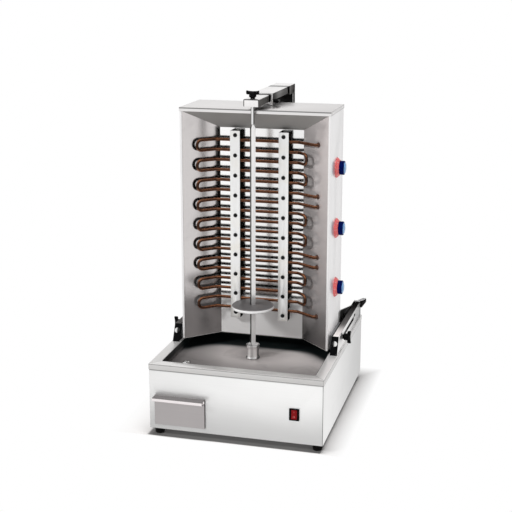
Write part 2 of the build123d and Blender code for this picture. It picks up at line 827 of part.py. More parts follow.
top_seat = Plane(origin=(0, spit_y, z_knob_seat), x_dir=(1, 0, 0), z_dir=(0, 0, 1))
top_pin_knob = wing_knob(top_seat, wing_span, top_knob_height, wing_height, wing_thick, knob_stem_r,
                         knob_neck_r, top_pin_r + run_clear, z_pin_top - z_knob_seat + run_clear, 0, 0)
save(top_pin_knob.part, "top_pin_knob")

lock_seat = Plane(origin=(sleeve_half + knob_gap, lock_y, z_lock), x_dir=(0, 1, 0), z_dir=(1, 0, 0))
arm_lock_knob = wing_knob(lock_seat, lock_span, lock_height, lock_wing_height, lock_wing_thick, lock_stem_r,
                          lock_neck_r, 0, 0, lock_screw_r, sleeve_half - arm_width / 2)
save(arm_lock_knob.part, "arm_lock_knob")

# Slotted rails with raked front ends, their caps and the knobs that lock the housing
for side_name, side in (("left", -1), ("right", 1)):
    web_out = side * rail_out
    web_in = side * (rail_out - rail_wall)
    lips = side * rail_in
    with BuildPart() as rail:
        with BuildSketch(facing_front(rail_front)):
            rectangle(min(web_out, lips), z_rim, max(web_out, lips), z_rail_top)
            rectangle(min(web_in, lips), z_rim + rail_wall, max(web_in, lips), z_rail_top - rail_wall,
                      Mode.SUBTRACT)
        extrude(amount=-rail_length)
        with BuildSketch(Plane.YZ):
            with BuildLine():
                Polyline((rail_front, z_rim), (rail_front, z_rail_top),
                         (rail_front + rail_rake, z_rail_top), close=True)
            make_face()
        extrude(amount=base_width, both=True, mode=Mode.SUBTRACT)
        with BuildSketch(Plane.YZ.offset(web_in)):
            with Locations((front_y + slot_from_front + slot_length / 2, z_slot)):
                SlotOverall(slot_length, slot_height)
            with Locations((front_y + slot_from_front + slot_length + notch_gap + notch_length / 2,
                            z_slot + notch_up)):
                SlotOverall(notch_length, notch_height)
        extrude(amount=side * rail_wall, mode=Mode.SUBTRACT)
    save(rail.part, f"{side_name}_rail")

with BuildPart() as rail_front_caps:
    with BuildSketch(Plane.YZ.offset(rail_in)):
        with BuildLine():
            Polyline((rail_front - rail_cap_thick, z_rim), (rail_front, z_rim),
                     (rail_front + rail_rake, z_rail_top),
                     (rail_front + rail_rake - rail_cap_thick, z_rail_top), close=True)
        make_face()
    extrude(amount=rail_width)
    rake_length = math.hypot(rail_rake, rail_height)
    cap_normal = (0, -rail_height / rake_length, rail_rake / rake_length)
    dome_y = rail_front - rail_cap_thick + rail_dome_up * rail_rake
    dome_z = z_rim + rail_dome_up * rail_height
    dome_seat = Plane(origin=((rail_in + rail_out) / 2, dome_y, dome_z), x_dir=(1, 0, 0), z_dir=cap_normal)
    with BuildSketch(dome_seat):
        Circle(rail_dome_r)
    extrude(amount=rail_dome_height, taper=rail_dome_taper)
    mirror(about=Plane.YZ)
save(rail_front_caps.part, "rail_front_caps")

with BuildPart() as rail_rear_caps:
    cap_rear = rail_rear + rear_cap_thick
    lug_end = cap_rear + lug_length
    lug_top = z_rail_top - lug_below_top
    root_x = rail_out - lug_root_in
    with BuildSketch(Plane.YZ.offset(rail_in)):
        rectangle(rail_rear, z_rim, cap_rear, z_rail_top)
    extrude(amount=rail_width)
    with BuildSketch(Plane.XY.offset(z_rim + lug_low)):
        rectangle(root_x - lug_r, cap_rear, root_x + lug_r, cap_rear + lug_root)
        with Locations((rail_out + lug_nose_out, lug_end - lug_r)):
            Circle(lug_r)
        make_hull()
    extrude(amount=lug_top - z_rim - lug_low)
    with BuildSketch(Plane.YZ.offset(rail_in)):
        with BuildLine():
            Polyline((cap_rear, z_rim + lug_low), (lug_end, z_rim + lug_low), (lug_end, lug_top - lug_tip),
                     close=True)
        make_face()
    extrude(amount=base_width, mode=Mode.SUBTRACT)
    mirror(about=Plane.YZ)
save(rail_rear_caps.part, "rail_rear_caps")

for side_name, side in (("left", -1), ("right", 1)):
    knob_seat = Plane(origin=(side * (rail_out + knob_gap), rail_knob_y, z_slot), x_dir=(0, 0, 1),
                      z_dir=(side, 0, 0))
    rail_knob = wing_knob(knob_seat, wing_span, knob_height, wing_height, wing_thick, knob_stem_r,
                          knob_neck_r, 0, 0, wing_screw_r, rail_width - rail_wall)
    save(rail_knob.part, f"{side_name}_rail_knob")

# Heater housing: shoes in the rails, outer panels, floor and cover
with BuildPart() as slide_shoes:
    shoe_out = rail_out - rail_wall - shoe_gap
    shoe_front = front_y + shoe_from_front
    with BuildSketch(Plane.YZ.offset(housing_half)):
        rectangle(shoe_front, z_rim + rail_wall + shoe_gap, shoe_front + shoe_length,
                  z_rail_top - rail_wall - shoe_gap)
        with Locations((rail_knob_y, z_slot)):
            Circle(wing_screw_r + run_clear, mode=Mode.SUBTRACT)
    extrude(amount=shoe_out - housing_half)
    mirror(about=Plane.YZ)
save(slide_shoes.part, "slide_shoes")

with BuildPart() as housing_stays:
    stay_end = rear_y - stay_from_rear
    stay_start = shoe_front + shoe_length
    with BuildSketch(Plane.YZ.offset(housing_half)):
        with BuildLine():
            z_stay = z_housing + stay_front_height
            Polyline((stay_start, z_housing), (stay_end, z_housing),
                     (stay_end, z_housing + stay_rear_height), (housing_rear, z_stay), (stay_start, z_stay),
                     close=True)
        make_face()
    extrude(amount=stay_sheet)
    mirror(about=Plane.YZ)
save(housing_stays.part, "housing_stays")

for side_name, side in (("left", -1), ("right", 1)):
    panel_out = side * housing_half
    panel_in = side * (housing_half - sheet)
    hem_in = side * niche_half
    with BuildPart() as housing_panel:
        with BuildSketch(Plane.XY.offset(z_housing)):
            rectangle(min(panel_in, panel_out), housing_front, max(panel_in, panel_out), housing_rear)
            rectangle(min(hem_in, panel_out), housing_front, max(hem_in, panel_out), niche_front)
        extrude(amount=z_cover - z_housing)
        if side > 0:
            with BuildSketch(Plane.YZ.offset(panel_in)):
                for step in range(knob_count):
                    with Locations((knob_y, z_top_knob - step * knob_pitch)):
                        Circle(spindle_r + spindle_clear)
            extrude(amount=sheet, mode=Mode.SUBTRACT)
    save(housing_panel.part, f"housing_{side_name}_panel")

with BuildPart() as housing_rear_panel:
    rear_half = housing_half - sheet
    with BuildSketch(facing_front(housing_rear)):
        rectangle(-rear_half, z_housing, rear_half, z_cover)
        for share in (0.2, 0.8):
            with Locations((0, z_housing + share * (z_cover - z_housing))):
                with GridLocations(vent_pitch, 0, vent_count, 1):
                    SlotOverall(vent_length, vent_width, rotation=90, mode=Mode.SUBTRACT)
    extrude(amount=sheet)
save(housing_rear_panel.part, "housing_rear_panel")

with BuildPart() as housing_floor:
    floor_half = housing_half - sheet
    with BuildSketch(Plane.XY.offset(z_housing)):
        rectangle(-floor_half, niche_front, floor_half, housing_rear - sheet)
        with BuildLine():
            Polyline((-niche_half, niche_front), (niche_half, niche_front), (back_half, back_y),
                     (-back_half, back_y), close=True)
        make_face(mode=Mode.SUBTRACT)
    extrude(amount=sheet)
save(housing_floor.part, "housing_floor")

with BuildPart() as top_cover:
    cover_half = housing_half + cover_sheet
    cover_front = housing_front - cover_sheet
    cover_rear = housing_rear + cover_sheet
    with BuildSketch(Plane.XY.offset(z_cover)):
        rectangle(-cover_half, cover_front, cover_half, cover_rear)
    extrude(amount=cover_sheet)
    with BuildSketch(Plane.XY.offset(z_housing_top - cover_lip)):
        rectangle(-cover_half, cover_front, cover_half, cover_rear)
        rectangle(-housing_half, housing_front, housing_half, housing_rear, Mode.SUBTRACT)
    extrude(amount=cover_lip - cover_sheet)
save(top_cover.part, "top_cover")

# Reflectors: a back wall, two slanted side walls and a sloped roof
with BuildPart() as back_reflector:
    with BuildSketch(facing_front(back_y + reflector_sheet)):
        rectangle(-back_half, z_niche, back_half, z_back_top + reflector_sheet)
    extrude(amount=reflector_sheet)
save(back_reflector.part, "back_reflector")


def wall_point(along, off):
    return (back_half + along * wall_along[0] + off * wall_out[0],
            back_y + along * wall_along[1] + off * wall_out[1])


terminal_xy = wall_point(terminal_along, 0)
terminal_heights = []
for first in range(0, heater_count * runs_per_heater, runs_per_heater):
    terminal_heights.append(z_first_run - first * run_pitch)
    terminal_heights.append(z_first_run - (first + runs_per_heater - 1) * run_pitch)

for side_name, side in (("left", -1), ("right", 1)):
    corners = [wall_point(0, 0), wall_point(wall_length, 0), wall_point(wall_length, reflector_sheet),
               wall_point(0, reflector_sheet)]
    with BuildPart() as reflector:
        with BuildSketch(Plane.XY.offset(z_niche)):
            with BuildLine():
                Polyline(*[(side * x, y) for x, y in corners], close=True)
            make_face()
        extrude(amount=z_front_top - z_niche)
        with BuildSketch(Plane.YZ):
            with BuildLine():
                Polyline((niche_front, z_front_top), (back_y, z_back_top),
                         (housing_rear, z_back_top - top_slope * (housing_rear - back_y)),
                         (housing_rear, z_front_top), close=True)
            make_face()
        extrude(amount=housing_half, both=True, mode=Mode.SUBTRACT)
        if side > 0:
            for height in terminal_heights:
                with BuildSketch(Plane(origin=(*terminal_xy, height), z_dir=(*wall_out, 0))):
                    Circle(tube_r + notch_clear)
                extrude(amount=2 * reflector_sheet, both=True, mode=Mode.SUBTRACT)
    save(reflector.part, f"{side_name}_reflector")

with BuildPart() as top_reflector:
    with BuildSketch(Plane.YZ):
        with BuildLine():
            Polyline((niche_front, z_front_top), (back_y, z_back_top),
                     (back_y, z_back_top + reflector_sheet),
                     (niche_front, z_front_top + reflector_sheet), close=True)
        make_face()
    extrude(amount=niche_half, both=True)
    with BuildSketch(Plane.XY.offset(z_back_top)):
        with BuildLine():
            Polyline((-niche_half, niche_front), (niche_half, niche_front), (back_half, back_y),
                     (-back_half, back_y), close=True)
        make_face()
    extrude(amount=z_housing_top - z_back_top, mode=Mode.INTERSECT)
save(top_reflector.part, "top_reflector")


# One bent tube: a terminal, runs joined by turns at both ends, and the other terminal.
# Both ends of every run are bent forward, in line with the slanted walls.
def heater_route(first):
    heights = [z_first_run - (first + run) * run_pitch for run in range(runs_per_heater)]
    left_tip = wall_point(left_bend + left_reach, -left_off_wall)
    right_tip = wall_point(right_bend + right_reach, -right_off_wall)
    corner = wall_point(terminal_along, -terminal_off)
    tail = wall_point(terminal_along, terminal_tail)
    points = [(*tail, heights[0]), (*corner, heights[0])]
    radii = [terminal_r]
    for run, height in enumerate(heights):
        leftward = run % 2 == 0
        ends = [(right_bend_x, heater_y, height), (-left_bend_x, heater_y, height)]
        points += ends if leftward else ends[::-1]
        radii += [kink_r, kink_r]
        if run < runs_per_heater - 1:
            tip_x = -left_tip[0] if leftward else right_tip[0]
            tip_y = left_tip[1] if leftward else right_tip[1]
            points += [(tip_x, tip_y, height), (tip_x, tip_y, heights[run + 1])]
            radii += [turn_r, turn_r]
    points += [(*corner, heights[-1]), (*tail, heights[-1])]
    radii.append(terminal_r)
    return points, radii


for index, heater_name in enumerate(("heater_upper", "heater_middle", "heater_lower")):
    route, bends = heater_route(index * runs_per_heater)
    with BuildPart() as heater:
        with BuildLine() as path:
            FilletPolyline(*route, radius=bends)
        with BuildSketch(Plane(origin=path.line @ 0, z_dir=path.line % 0)):
            Circle(tube_r)
        sweep(path=path.line)
    save(heater.part, heater_name)

with BuildPart() as heater_bushings:
    for height in terminal_heights:
        with BuildSketch(Plane(origin=(*terminal_xy, height), z_dir=(-wall_out[0], -wall_out[1], 0))):
            Circle(bushing_r)
            Circle(tube_r + run_clear, mode=Mode.SUBTRACT)
        extrude(amount=bushing_length)
save(heater_bushings.part, "heater_bushings")

# Guard bars: folded channels with a notch in each leg for every run, screwed to the back wall
for side_name, side in (("left", -1), ("right", 1)):
    bar_left = side * bar_x - bar_width / 2
    bar_right = side * bar_x + bar_width / 2
    with BuildPart() as guard_bar:
        with BuildSketch(Plane.XY.offset(z_bar)):
            rectangle(bar_left, bar_front, bar_right, back_y)
            rectangle(bar_left + bar_sheet, bar_front + bar_sheet, bar_right - bar_sheet, back_y,
                      Mode.SUBTRACT)
        extrude(amount=z_bar_top - z_bar)
        notch_half = tube_r + notch_clear
        with BuildSketch(Plane.YZ):
            for run in range(heater_count * runs_per_heater):
                z_run = z_first_run - run * run_pitch
                rectangle(heater_y - notch_half + notch_clear / 2, z_run - notch_half, back_y,
                          z_run + notch_half)
        extrude(amount=housing_half, both=True, mode=Mode.SUBTRACT)
        with BuildSketch(facing_front(bar_front)):
            for step in range(screw_count):
                with Locations((side * bar_x, z_first_screw - step * screw_pitch)):
                    Circle(screw_shank_r + run_clear)
        extrude(amount=-bar_sheet, mode=Mode.SUBTRACT)
    save(guard_bar.part, f"{side_name}_guard_bar")

with BuildPart() as guard_screws:
    screw_z = z_first_screw - (screw_count - 1) * screw_pitch / 2
    with BuildSketch(facing_front(bar_front)):
        with Locations((0, screw_z)):
            with GridLocations(2 * bar_x, screw_pitch, 2, screw_count):
                Circle(screw_head_r)
    extrude(amount=screw_head)
    with BuildSketch(facing_front(bar_front)):
        with Locations((0, screw_z)):
            with GridLocations(2 * bar_x, screw_pitch, 2, screw_count):
                Circle(screw_shank_r)
    extrude(amount=-bar_depth)
save(guard_screws.part, "guard_screws")

# Heat knobs, their dial plates and the regulators behind the side panel
with BuildPart() as knob_dials:
    for step in range(knob_count):
        dial_axis = sideways_axis(knob_y, z_top_knob - step * knob_pitch)
        with BuildSketch(dial_axis):
            with BuildLine():
                Polyline((spindle_r + spindle_clear, housing_half), (dial_r, housing_half),
                         (dial_r, housing_half + dial_edge), (dial_top_r, dial_out),
                         (spindle_r + spindle_clear, dial_out), close=True)
            make_face()
        revolve(axis=Axis(dial_axis.origin, dial_axis.y_dir))
save(knob_dials.part, "knob_dials")

with BuildPart() as heat_regulators:
    regulator_face = housing_half - sheet
    with BuildSketch(Plane.YZ.offset(regulator_face)):
        for step in range(knob_count):
            with Locations((knob_y, z_top_knob - step * knob_pitch)):
                Rectangle(regulator_width, regulator_height)
    extrude(amount=-regulator_depth)
    with BuildSketch(Plane.YZ.offset(regulator_face)):
        for step in range(knob_count):
            with Locations((knob_y, z_top_knob - step * knob_pitch)):
                Circle(spindle_r + run_clear)
    extrude(amount=-spindle_in - bore_past, mode=Mode.SUBTRACT)
save(heat_regulators.part, "heat_regulators")

for step, knob_name in enumerate(("knob_upper", "knob_middle", "knob_lower")):
    knob_axis = sideways_axis(knob_y, z_top_knob - step * knob_pitch)
    knob_base = dial_out + knob_gap
    knob_tip = knob_base + heat_knob_length
    knob_rim = knob_tip - heat_knob_dome
    dome_r = (heat_knob_r ** 2 + heat_knob_dome ** 2) / (2 * heat_knob_dome)
    dome_half = knob_tip - dome_r + math.sqrt(dome_r ** 2 - heat_knob_r ** 2 / 4)
    with BuildPart() as heat_knob:
        with BuildSketch(knob_axis):
            with BuildLine():
                spindle_end = regulator_face - spindle_in
                Polyline((0, knob_tip), (0, spindle_end), (spindle_r, spindle_end), (spindle_r, knob_base),
                         (heat_knob_r, knob_base), (heat_knob_r, knob_rim))
                ThreePointArc((heat_knob_r, knob_rim), (heat_knob_r / 2, dome_half), (0, knob_tip))
            make_face()
        revolve(axis=Axis(knob_axis.origin, knob_axis.y_dir))
    save(heat_knob.part, knob_name)

# Terminal block on the floor and the cable gland in the rear panel
with BuildPart() as terminal_block:
    block_y = rear_y - block_from_rear
    with BuildSketch(Plane.XY.offset(z_floor)):
        with Locations((block_x, block_y)):
            Rectangle(block_length, block_depth)
    extrude(amount=block_height)
    with BuildSketch(Plane.XY.offset(z_floor + block_height)):
        with Locations((block_x, block_y)):
            with GridLocations(block_length / block_ways, block_depth / 2, block_ways, 2):
                Circle(block_screw_r)
    extrude(amount=-block_height / 2, mode=Mode.SUBTRACT)
save(terminal_block.part, "terminal_block")

with BuildPart() as cable_gland:
    gland_axis = Plane(origin=(gland_x, 0, z_body + gland_up), x_dir=(1, 0, 0), z_dir=(0, 0, 1))
    gland_tip = rear_y + gland_reach
    with BuildSketch(gland_axis):
        with BuildLine():
            Polyline((gland_bore_r, inner_rear - gland_inside), (gland_body_r, inner_rear - gland_inside),
                     (gland_body_r, panel_rear), (gland_nut_r, panel_rear),
                     (gland_nut_r, panel_rear + gland_nut), (gland_body_r, gland_tip - gland_nut / 2),
                     (gland_body_r - dial_edge, gland_tip), (gland_bore_r, gland_tip), close=True)
        make_face()
    revolve(axis=Axis(gland_axis.origin, gland_axis.y_dir))
save(cable_gland.part, "cable_gland")
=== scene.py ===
import math

import bmesh
import bpy
from mathutils import Matrix, Vector


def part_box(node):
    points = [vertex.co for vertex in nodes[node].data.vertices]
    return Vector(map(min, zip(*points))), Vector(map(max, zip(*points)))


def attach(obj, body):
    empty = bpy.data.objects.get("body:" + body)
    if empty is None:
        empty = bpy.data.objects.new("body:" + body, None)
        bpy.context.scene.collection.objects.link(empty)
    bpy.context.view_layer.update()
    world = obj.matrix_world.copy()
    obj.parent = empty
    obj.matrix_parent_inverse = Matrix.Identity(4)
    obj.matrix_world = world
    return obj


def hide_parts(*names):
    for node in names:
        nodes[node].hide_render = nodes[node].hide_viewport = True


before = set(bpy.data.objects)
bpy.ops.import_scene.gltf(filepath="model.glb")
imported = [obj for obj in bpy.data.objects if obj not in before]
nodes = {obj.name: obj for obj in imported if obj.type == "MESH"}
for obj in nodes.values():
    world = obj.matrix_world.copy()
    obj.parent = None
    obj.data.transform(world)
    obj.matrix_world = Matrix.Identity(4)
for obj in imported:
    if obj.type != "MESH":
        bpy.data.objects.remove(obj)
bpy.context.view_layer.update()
scene = bpy.context.scene
mm = 0.001
print("frame loaded:", len(nodes), "nodes")

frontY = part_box("top_rim")[0].y
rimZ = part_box("top_rim")[1].z
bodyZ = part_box("base_front_panel")[0].z

# camera, measured from the photograph: place is from the base's front lower edge
cameraSetup = {
    "place": (0.724, -2.4838, 1.1525),
    "lookDown": 0.225,
    "turnLeft": 0.263,
    "lens": 78.2,
    "sensor": 36.0,
    "shiftY": -0.074,
    "clipEnd": 100.0,
}
cameraData = bpy.data.cameras.new("photoCamera")
cameraData.lens = cameraSetup["lens"]
cameraData.sensor_width = cameraSetup["sensor"]
cameraData.shift_y = cameraSetup["shiftY"]
cameraData.clip_end = cameraSetup["clipEnd"]
camera = bpy.data.objects.new("photoCamera", cameraData)
scene.collection.objects.link(camera)
right, back, up = cameraSetup["place"]
camera.location = (right, frontY + back, bodyZ + up)
camera.rotation_euler = (math.pi / 2 - cameraSetup["lookDown"], 0.0, cameraSetup["turnLeft"])
scene.camera = camera
scene.view_settings.view_transform = "Standard"
print("camera placed")


# small helpers for node trees; a value is a number, a colour or another node's socket, and a socket knows its tree
def plug(value, socket):
    if isinstance(value, bpy.types.NodeSocket):
        socket.id_data.links.new(value, socket)
    else:
        socket.default_value = value


def addNode(tree, kind, values=None):
    node = tree.nodes.new("ShaderNode" + kind)
    for key, value in (values or {}).items():
        if key in node.inputs.keys():
            plug(value, node.inputs[key])
        else:
            setattr(node, key, value)
    return node


def treeOf(*values):
    return next(value.id_data for value in values if isinstance(value, bpy.types.NodeSocket))


def calc(operation, *values):
    node = addNode(treeOf(*values), "Math", {"operation": operation})
    for value, socket in zip(values, node.inputs):
        plug(value, socket)
    return node.outputs[0]


def times(first, *others):
    for other in others:
        first = calc("MULTIPLY", first, other)
    return first


def between(value, low, high, toLow=0.0, toHigh=1.0, way="SMOOTHSTEP"):
    return addNode(value.id_data, "MapRange", {"interpolation_type": way, "Value": value, "From Min": low,
                                                "From Max": high, "To Min": toLow, "To Max": toHigh}).outputs["Result"]


def blendColour(factor, first, second, mode="MIX"):
    node = addNode(treeOf(factor, first, second), "Mix", {"data_type": "RGBA", "blend_type": mode})
    plug(factor, node.inputs[0])
    for index, value in ((6, first), (7, second)):
        if isinstance(value, tuple) and len(value) == 3:
            value = (*value, 1.0)
        plug(value, node.inputs[index])
    return node.outputs[2]


def toned(shade, factor):
    return blendColour(1.0, shade, factor, "MULTIPLY")


def axes(where):
    x, y, z = addNode(where.id_data, "SeparateXYZ", {"Vector": where}).outputs
    return {"x": x, "y": y, "z": z, "across": calc("ABSOLUTE", x)}


def seenOrMirrored(tree):
    path = addNode(tree, "LightPath").outputs
    first = calc("MAXIMUM", path["Is Camera Ray"], path["Is Glossy Ray"])
    return calc("MAXIMUM", first, path["Is Transmission Ray"])


def grey(level):
    return (level, level, level)


# pale studio: white for the camera and for reflections, softer for the light itself
studio = {
    "ambient": 0.22,
    "floorColour": (0.95, 0.925, 0.915),
    "floorGlow": 0.02,
    "paintedShadowRamp": (0.002, 0.006),
    "fade": (0.003, 0.054),
    "shadowUnderBase": 0.21,
    "edgeTone": 0.82,
    "floorSize": 30.0,
    "rightIn": 0.011,
    "steep": {"right": 0.84, "left": 0.52, "front": 9.0, "back": 0.6},
}
world = bpy.data.worlds.new("paleStudio")
world.use_nodes = True
scene.world = world
tree = world.node_tree
sky = tree.nodes["Background"].inputs
sky["Color"].default_value = (*grey(1.0), 1.0)
plug(between(seenOrMirrored(tree), 0.0, 1.0, studio["ambient"], 1.0), sky["Strength"])

mesh = bmesh.new()
bmesh.ops.create_grid(mesh, x_segments=1, y_segments=1, size=studio["floorSize"])
floorData = bpy.data.meshes.new("studioFloor")
mesh.to_mesh(floorData)
mesh.free()
floor = bpy.data.objects.new("studioFloor", floorData)
scene.collection.objects.link(floor)
floorPaint = bpy.data.materials.new("floorPaint")
floorPaint.use_nodes = True
tree = floorPaint.node_tree
tree.nodes.remove(tree.nodes["Principled BSDF"])
# the floor's shadow is painted: darker under the base and near its outline, by the distance from it, and faded to white
# further off
side = axes(addNode(tree, "TexCoord").outputs["Object"])
footLow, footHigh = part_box("base_side_panels")
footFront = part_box("base_front_panel")[0].y
pastEdges = {"right": (side["x"], footHigh.x - studio["rightIn"]), "left": (footLow.x, side["x"]),
             "front": (footFront, side["y"]), "back": (side["y"], footHigh.y)}
outside = -1.0  # how far off the base's outline
for edge, (far, near) in pastEdges.items():
    past = times(calc("SUBTRACT", far, near), studio["steep"][edge])
    outside = calc("MAXIMUM", outside, past)
paintedShadowRamp = between(outside, *studio["paintedShadowRamp"], studio["shadowUnderBase"], studio["edgeTone"])
seen = seenOrMirrored(tree)
matte = addNode(tree, "BsdfDiffuse", {"Color": toned(studio["floorColour"], paintedShadowRamp)})
glow = addNode(tree, "Emission", {"Strength": times(seen, studio["floorGlow"])})
near = addNode(tree, "AddShader")
fade = times(between(outside, *studio["fade"], way="LINEAR"), seen)
mirrored = addNode(tree, "LightPath").outputs["Is Glossy Ray"]  # reflections meet a white floor
mix = addNode(tree, "MixShader")
for value, socket in ((matte.outputs[0], near.inputs[0]), (glow.outputs[0], near.inputs[1]),
                      (calc("MAXIMUM", fade, mirrored), mix.inputs[0]), (near.outputs[0], mix.inputs[1]),
                      (addNode(tree, "Emission").outputs[0], mix.inputs[2]),
                      (mix.outputs[0], tree.nodes["Material Output"].inputs["Surface"])):
    tree.links.new(value, socket)
floorData.materials.append(floorPaint)

lampPlan = {
    "keySoftbox": {"place": (-1.8, -2.1, 1.9), "aim": (0.0, -0.05, 0.40), "size": (0.40, 0.40), "power": 40.0},
    "fillSoftbox": {"place": (2.3, -2.2, 1.6), "aim": (0.0, 0.0, 0.35), "size": (1.8, 1.8), "power": 12.0},
    "topSoftbox": {"place": (0.0, -0.60, 2.7), "aim": (0.0, -0.10, 0.1), "size": (1.5, 0.5), "power": 46.0},
}
for lampName, plan in lampPlan.items():
    lampData = bpy.data.lights.new(lampName, "AREA")
    lampData.energy = plan["power"]
    lampData.shape = "RECTANGLE"
    lampData.size, lampData.size_y = plan["size"]
    lamp = bpy.data.objects.new(lampName, lampData)
    scene.collection.objects.link(lamp)
    lamp.visible_glossy = False
    lamp.location = plan["place"]
    toward = Vector(plan["aim"]) - Vector(plan["place"])
    lamp.rotation_euler = toward.to_track_quat("-Z", "Y").to_euler()
print("studio lit")


# shader groups that several finishes share; an input without a value is a vector
def newGroup(name, takes, gives, kind="NodeSocketFloat"):
    group = bpy.data.node_groups.new(name, "ShaderNodeTree")
    for label, value in takes.items():
        takesKind = "NodeSocketVector" if value is None else "NodeSocketFloat"
        socket = group.interface.new_socket(label, in_out="INPUT", socket_type=takesKind)
        if value is not None:
            socket.default_value = value
    for label in gives:
        group.interface.new_socket(label, in_out="OUTPUT", socket_type=kind)
    return group, group.nodes.new("NodeGroupInput").outputs, group.nodes.new("NodeGroupOutput").inputs


def noise(tree, values):
    return addNode(tree, "TexNoise", values).outputs["Fac"]


# lines of a rolled or brushed sheet: the material stretches the vector along the lines
brushedGrain, given, made = newGroup(
    "brushedGrain", {"Vector": None, "Cloud Vector": None, "Strength": 0.1, "Roughness": 0.3, "Spread": 0.1},
    ("Tone", "Roughness", "Height"))
lines = noise(brushedGrain, {"Vector": given["Vector"], "Scale": 1.0, "Detail": 3.0, "Roughness": 0.6})
clouds = noise(brushedGrain, {"Vector": given["Cloud Vector"], "Scale": 9.0, "Detail": 2.0})
lineShift = calc("SUBTRACT", lines, 0.5)
cloudShift = calc("SUBTRACT", clouds, 0.5)
bothShift = calc("MULTIPLY_ADD", cloudShift, 0.6, lineShift)
plug(calc("MULTIPLY_ADD", bothShift, given["Strength"], 1.0), made["Tone"])
plug(calc("MULTIPLY_ADD", lineShift, given["Spread"], given["Roughness"]), made["Roughness"])
plug(lines, made["Height"])

# mask that is high along outer and inner edges, where shade lines and highlights are painted
edgeLineMask, given, made = newGroup("edgeLineMask", {"Radius": 0.001}, ("Mask",))
rounded = addNode(edgeLineMask, "Bevel", {"samples": 4, "Radius": given["Radius"]}).outputs["Normal"]
facing = addNode(edgeLineMask, "VectorMath", {"operation": "DOT_PRODUCT"})
plug(rounded, facing.inputs[0])
plug(addNode(edgeLineMask, "NewGeometry").outputs["Normal"], facing.inputs[1])
plug(between(facing.outputs["Value"], 0.99, 0.80), made["Mask"])

# soft patches left by hands, fat and wiping
wipeMarks, given, made = newGroup("wipeMarks", {"Vector": None, "Scale": 12.0, "Low": 0.5, "High": 0.7}, ("Mask",))
patches = noise(wipeMarks, {"Vector": given["Vector"], "Scale": given["Scale"], "Detail": 5.0, "Roughness": 0.62,
                            "Distortion": 0.6})
plug(between(patches, given["Low"], given["High"]), made["Mask"])

# straw, brown and blue tints that steel takes near a heater
tintStops = ((0.0, grey(1.0)), (0.35, (0.95, 0.88, 0.74)), (0.62, (0.70, 0.52, 0.44)), (0.85, (0.42, 0.36, 0.40)))
heatTint, given, made = newGroup("heatTint", {"Vector": None, "Heat": 0.3}, ("Colour",), "NodeSocketColor")
bands = noise(heatTint, {"Vector": given["Vector"], "Scale": 26.0, "Detail": 3.0})
bandShift = calc("SUBTRACT", bands, 0.5)
tintRamp = addNode(heatTint, "ValToRGB", {"Fac": calc("MULTIPLY_ADD", bandShift, 0.35, given["Heat"])})
stops = tintRamp.color_ramp.elements
while len(stops) < len(tintStops):
    stops.new(0.5)
for stop, (position, shade) in zip(stops, tintStops):
    stop.position = position
    stop.color = (*shade, 1.0)
plug(tintRamp.outputs["Color"], made["Colour"])

# fine moulded or cast skin
mouldedSkin, given, made = newGroup("mouldedSkin", {"Vector": None, "Scale": 900.0, "Strength": 0.2}, ("Tone", "Height"))
skin = noise(mouldedSkin, {"Vector": given["Vector"], "Scale": given["Scale"], "Detail": 2.0})
skinShift = calc("SUBTRACT", skin, 0.5)
plug(calc("MULTIPLY_ADD", skinShift, given["Strength"], 1.0), made["Tone"])
plug(skin, made["Height"])
print("shader groups made")

finishes = {}
evenSockets = {"metallic": "Metallic", "gloss": "Specular IOR Level", "tint": "Specular Tint", "coat": "Coat Weight",
               "glow": "Emission Strength", "glowColour": "Emission Color"}


def startFinish(name, plan):
    finishes[name] = bpy.data.materials.new(name)
    finishes[name].use_nodes = True
    tree = finishes[name].node_tree
    shader = tree.nodes["Principled BSDF"].inputs
    for key in evenSockets.keys() & plan.keys():
        shader[evenSockets[key]].default_value = plan[key]
    return shader, addNode(tree, "TexCoord").outputs["Object"]


def endFinish(shader, shade, roughness, height, strength=0.06, distance=0.0004):
    bump = addNode(shade.id_data, "Bump", {"Strength": strength, "Distance": distance, "Height": height})
    for label, value in (("Base Color", shade), ("Roughness", roughness), ("Normal", bump.outputs["Normal"])):
        plug(value, shader[label])


def useGroup(near, group, values):
    node = near.id_data.nodes.new("ShaderNodeGroup")
    node.node_tree = group
    for label, value in values.items():
        plug(value, node.inputs[label])
    return node.outputs


def brushed(where, lines, strength, roughness, spread):
    stretch = addNode(where.id_data, "Mapping", {"Vector": where, "Scale": lines})
    return useGroup(where, brushedGrain, {"Vector": stretch.outputs["Vector"], "Cloud Vector": where,
                                         "Strength": strength, "Roughness": roughness, "Spread": spread})


def wiped(where, scale, low, high):
    return useGroup(where, wipeMarks, {"Vector": where, "Scale": scale, "Low": low, "High": high})["Mask"]


# painted shade along edges as dark lines, and a painted highlight where the edge colour is pale
def rubbed(shade, radius, edgeColour, amount):
    edge = useGroup(shade, edgeLineMask, {"Radius": radius})["Mask"]
    return blendColour(times(edge, amount), shade, edgeColour)
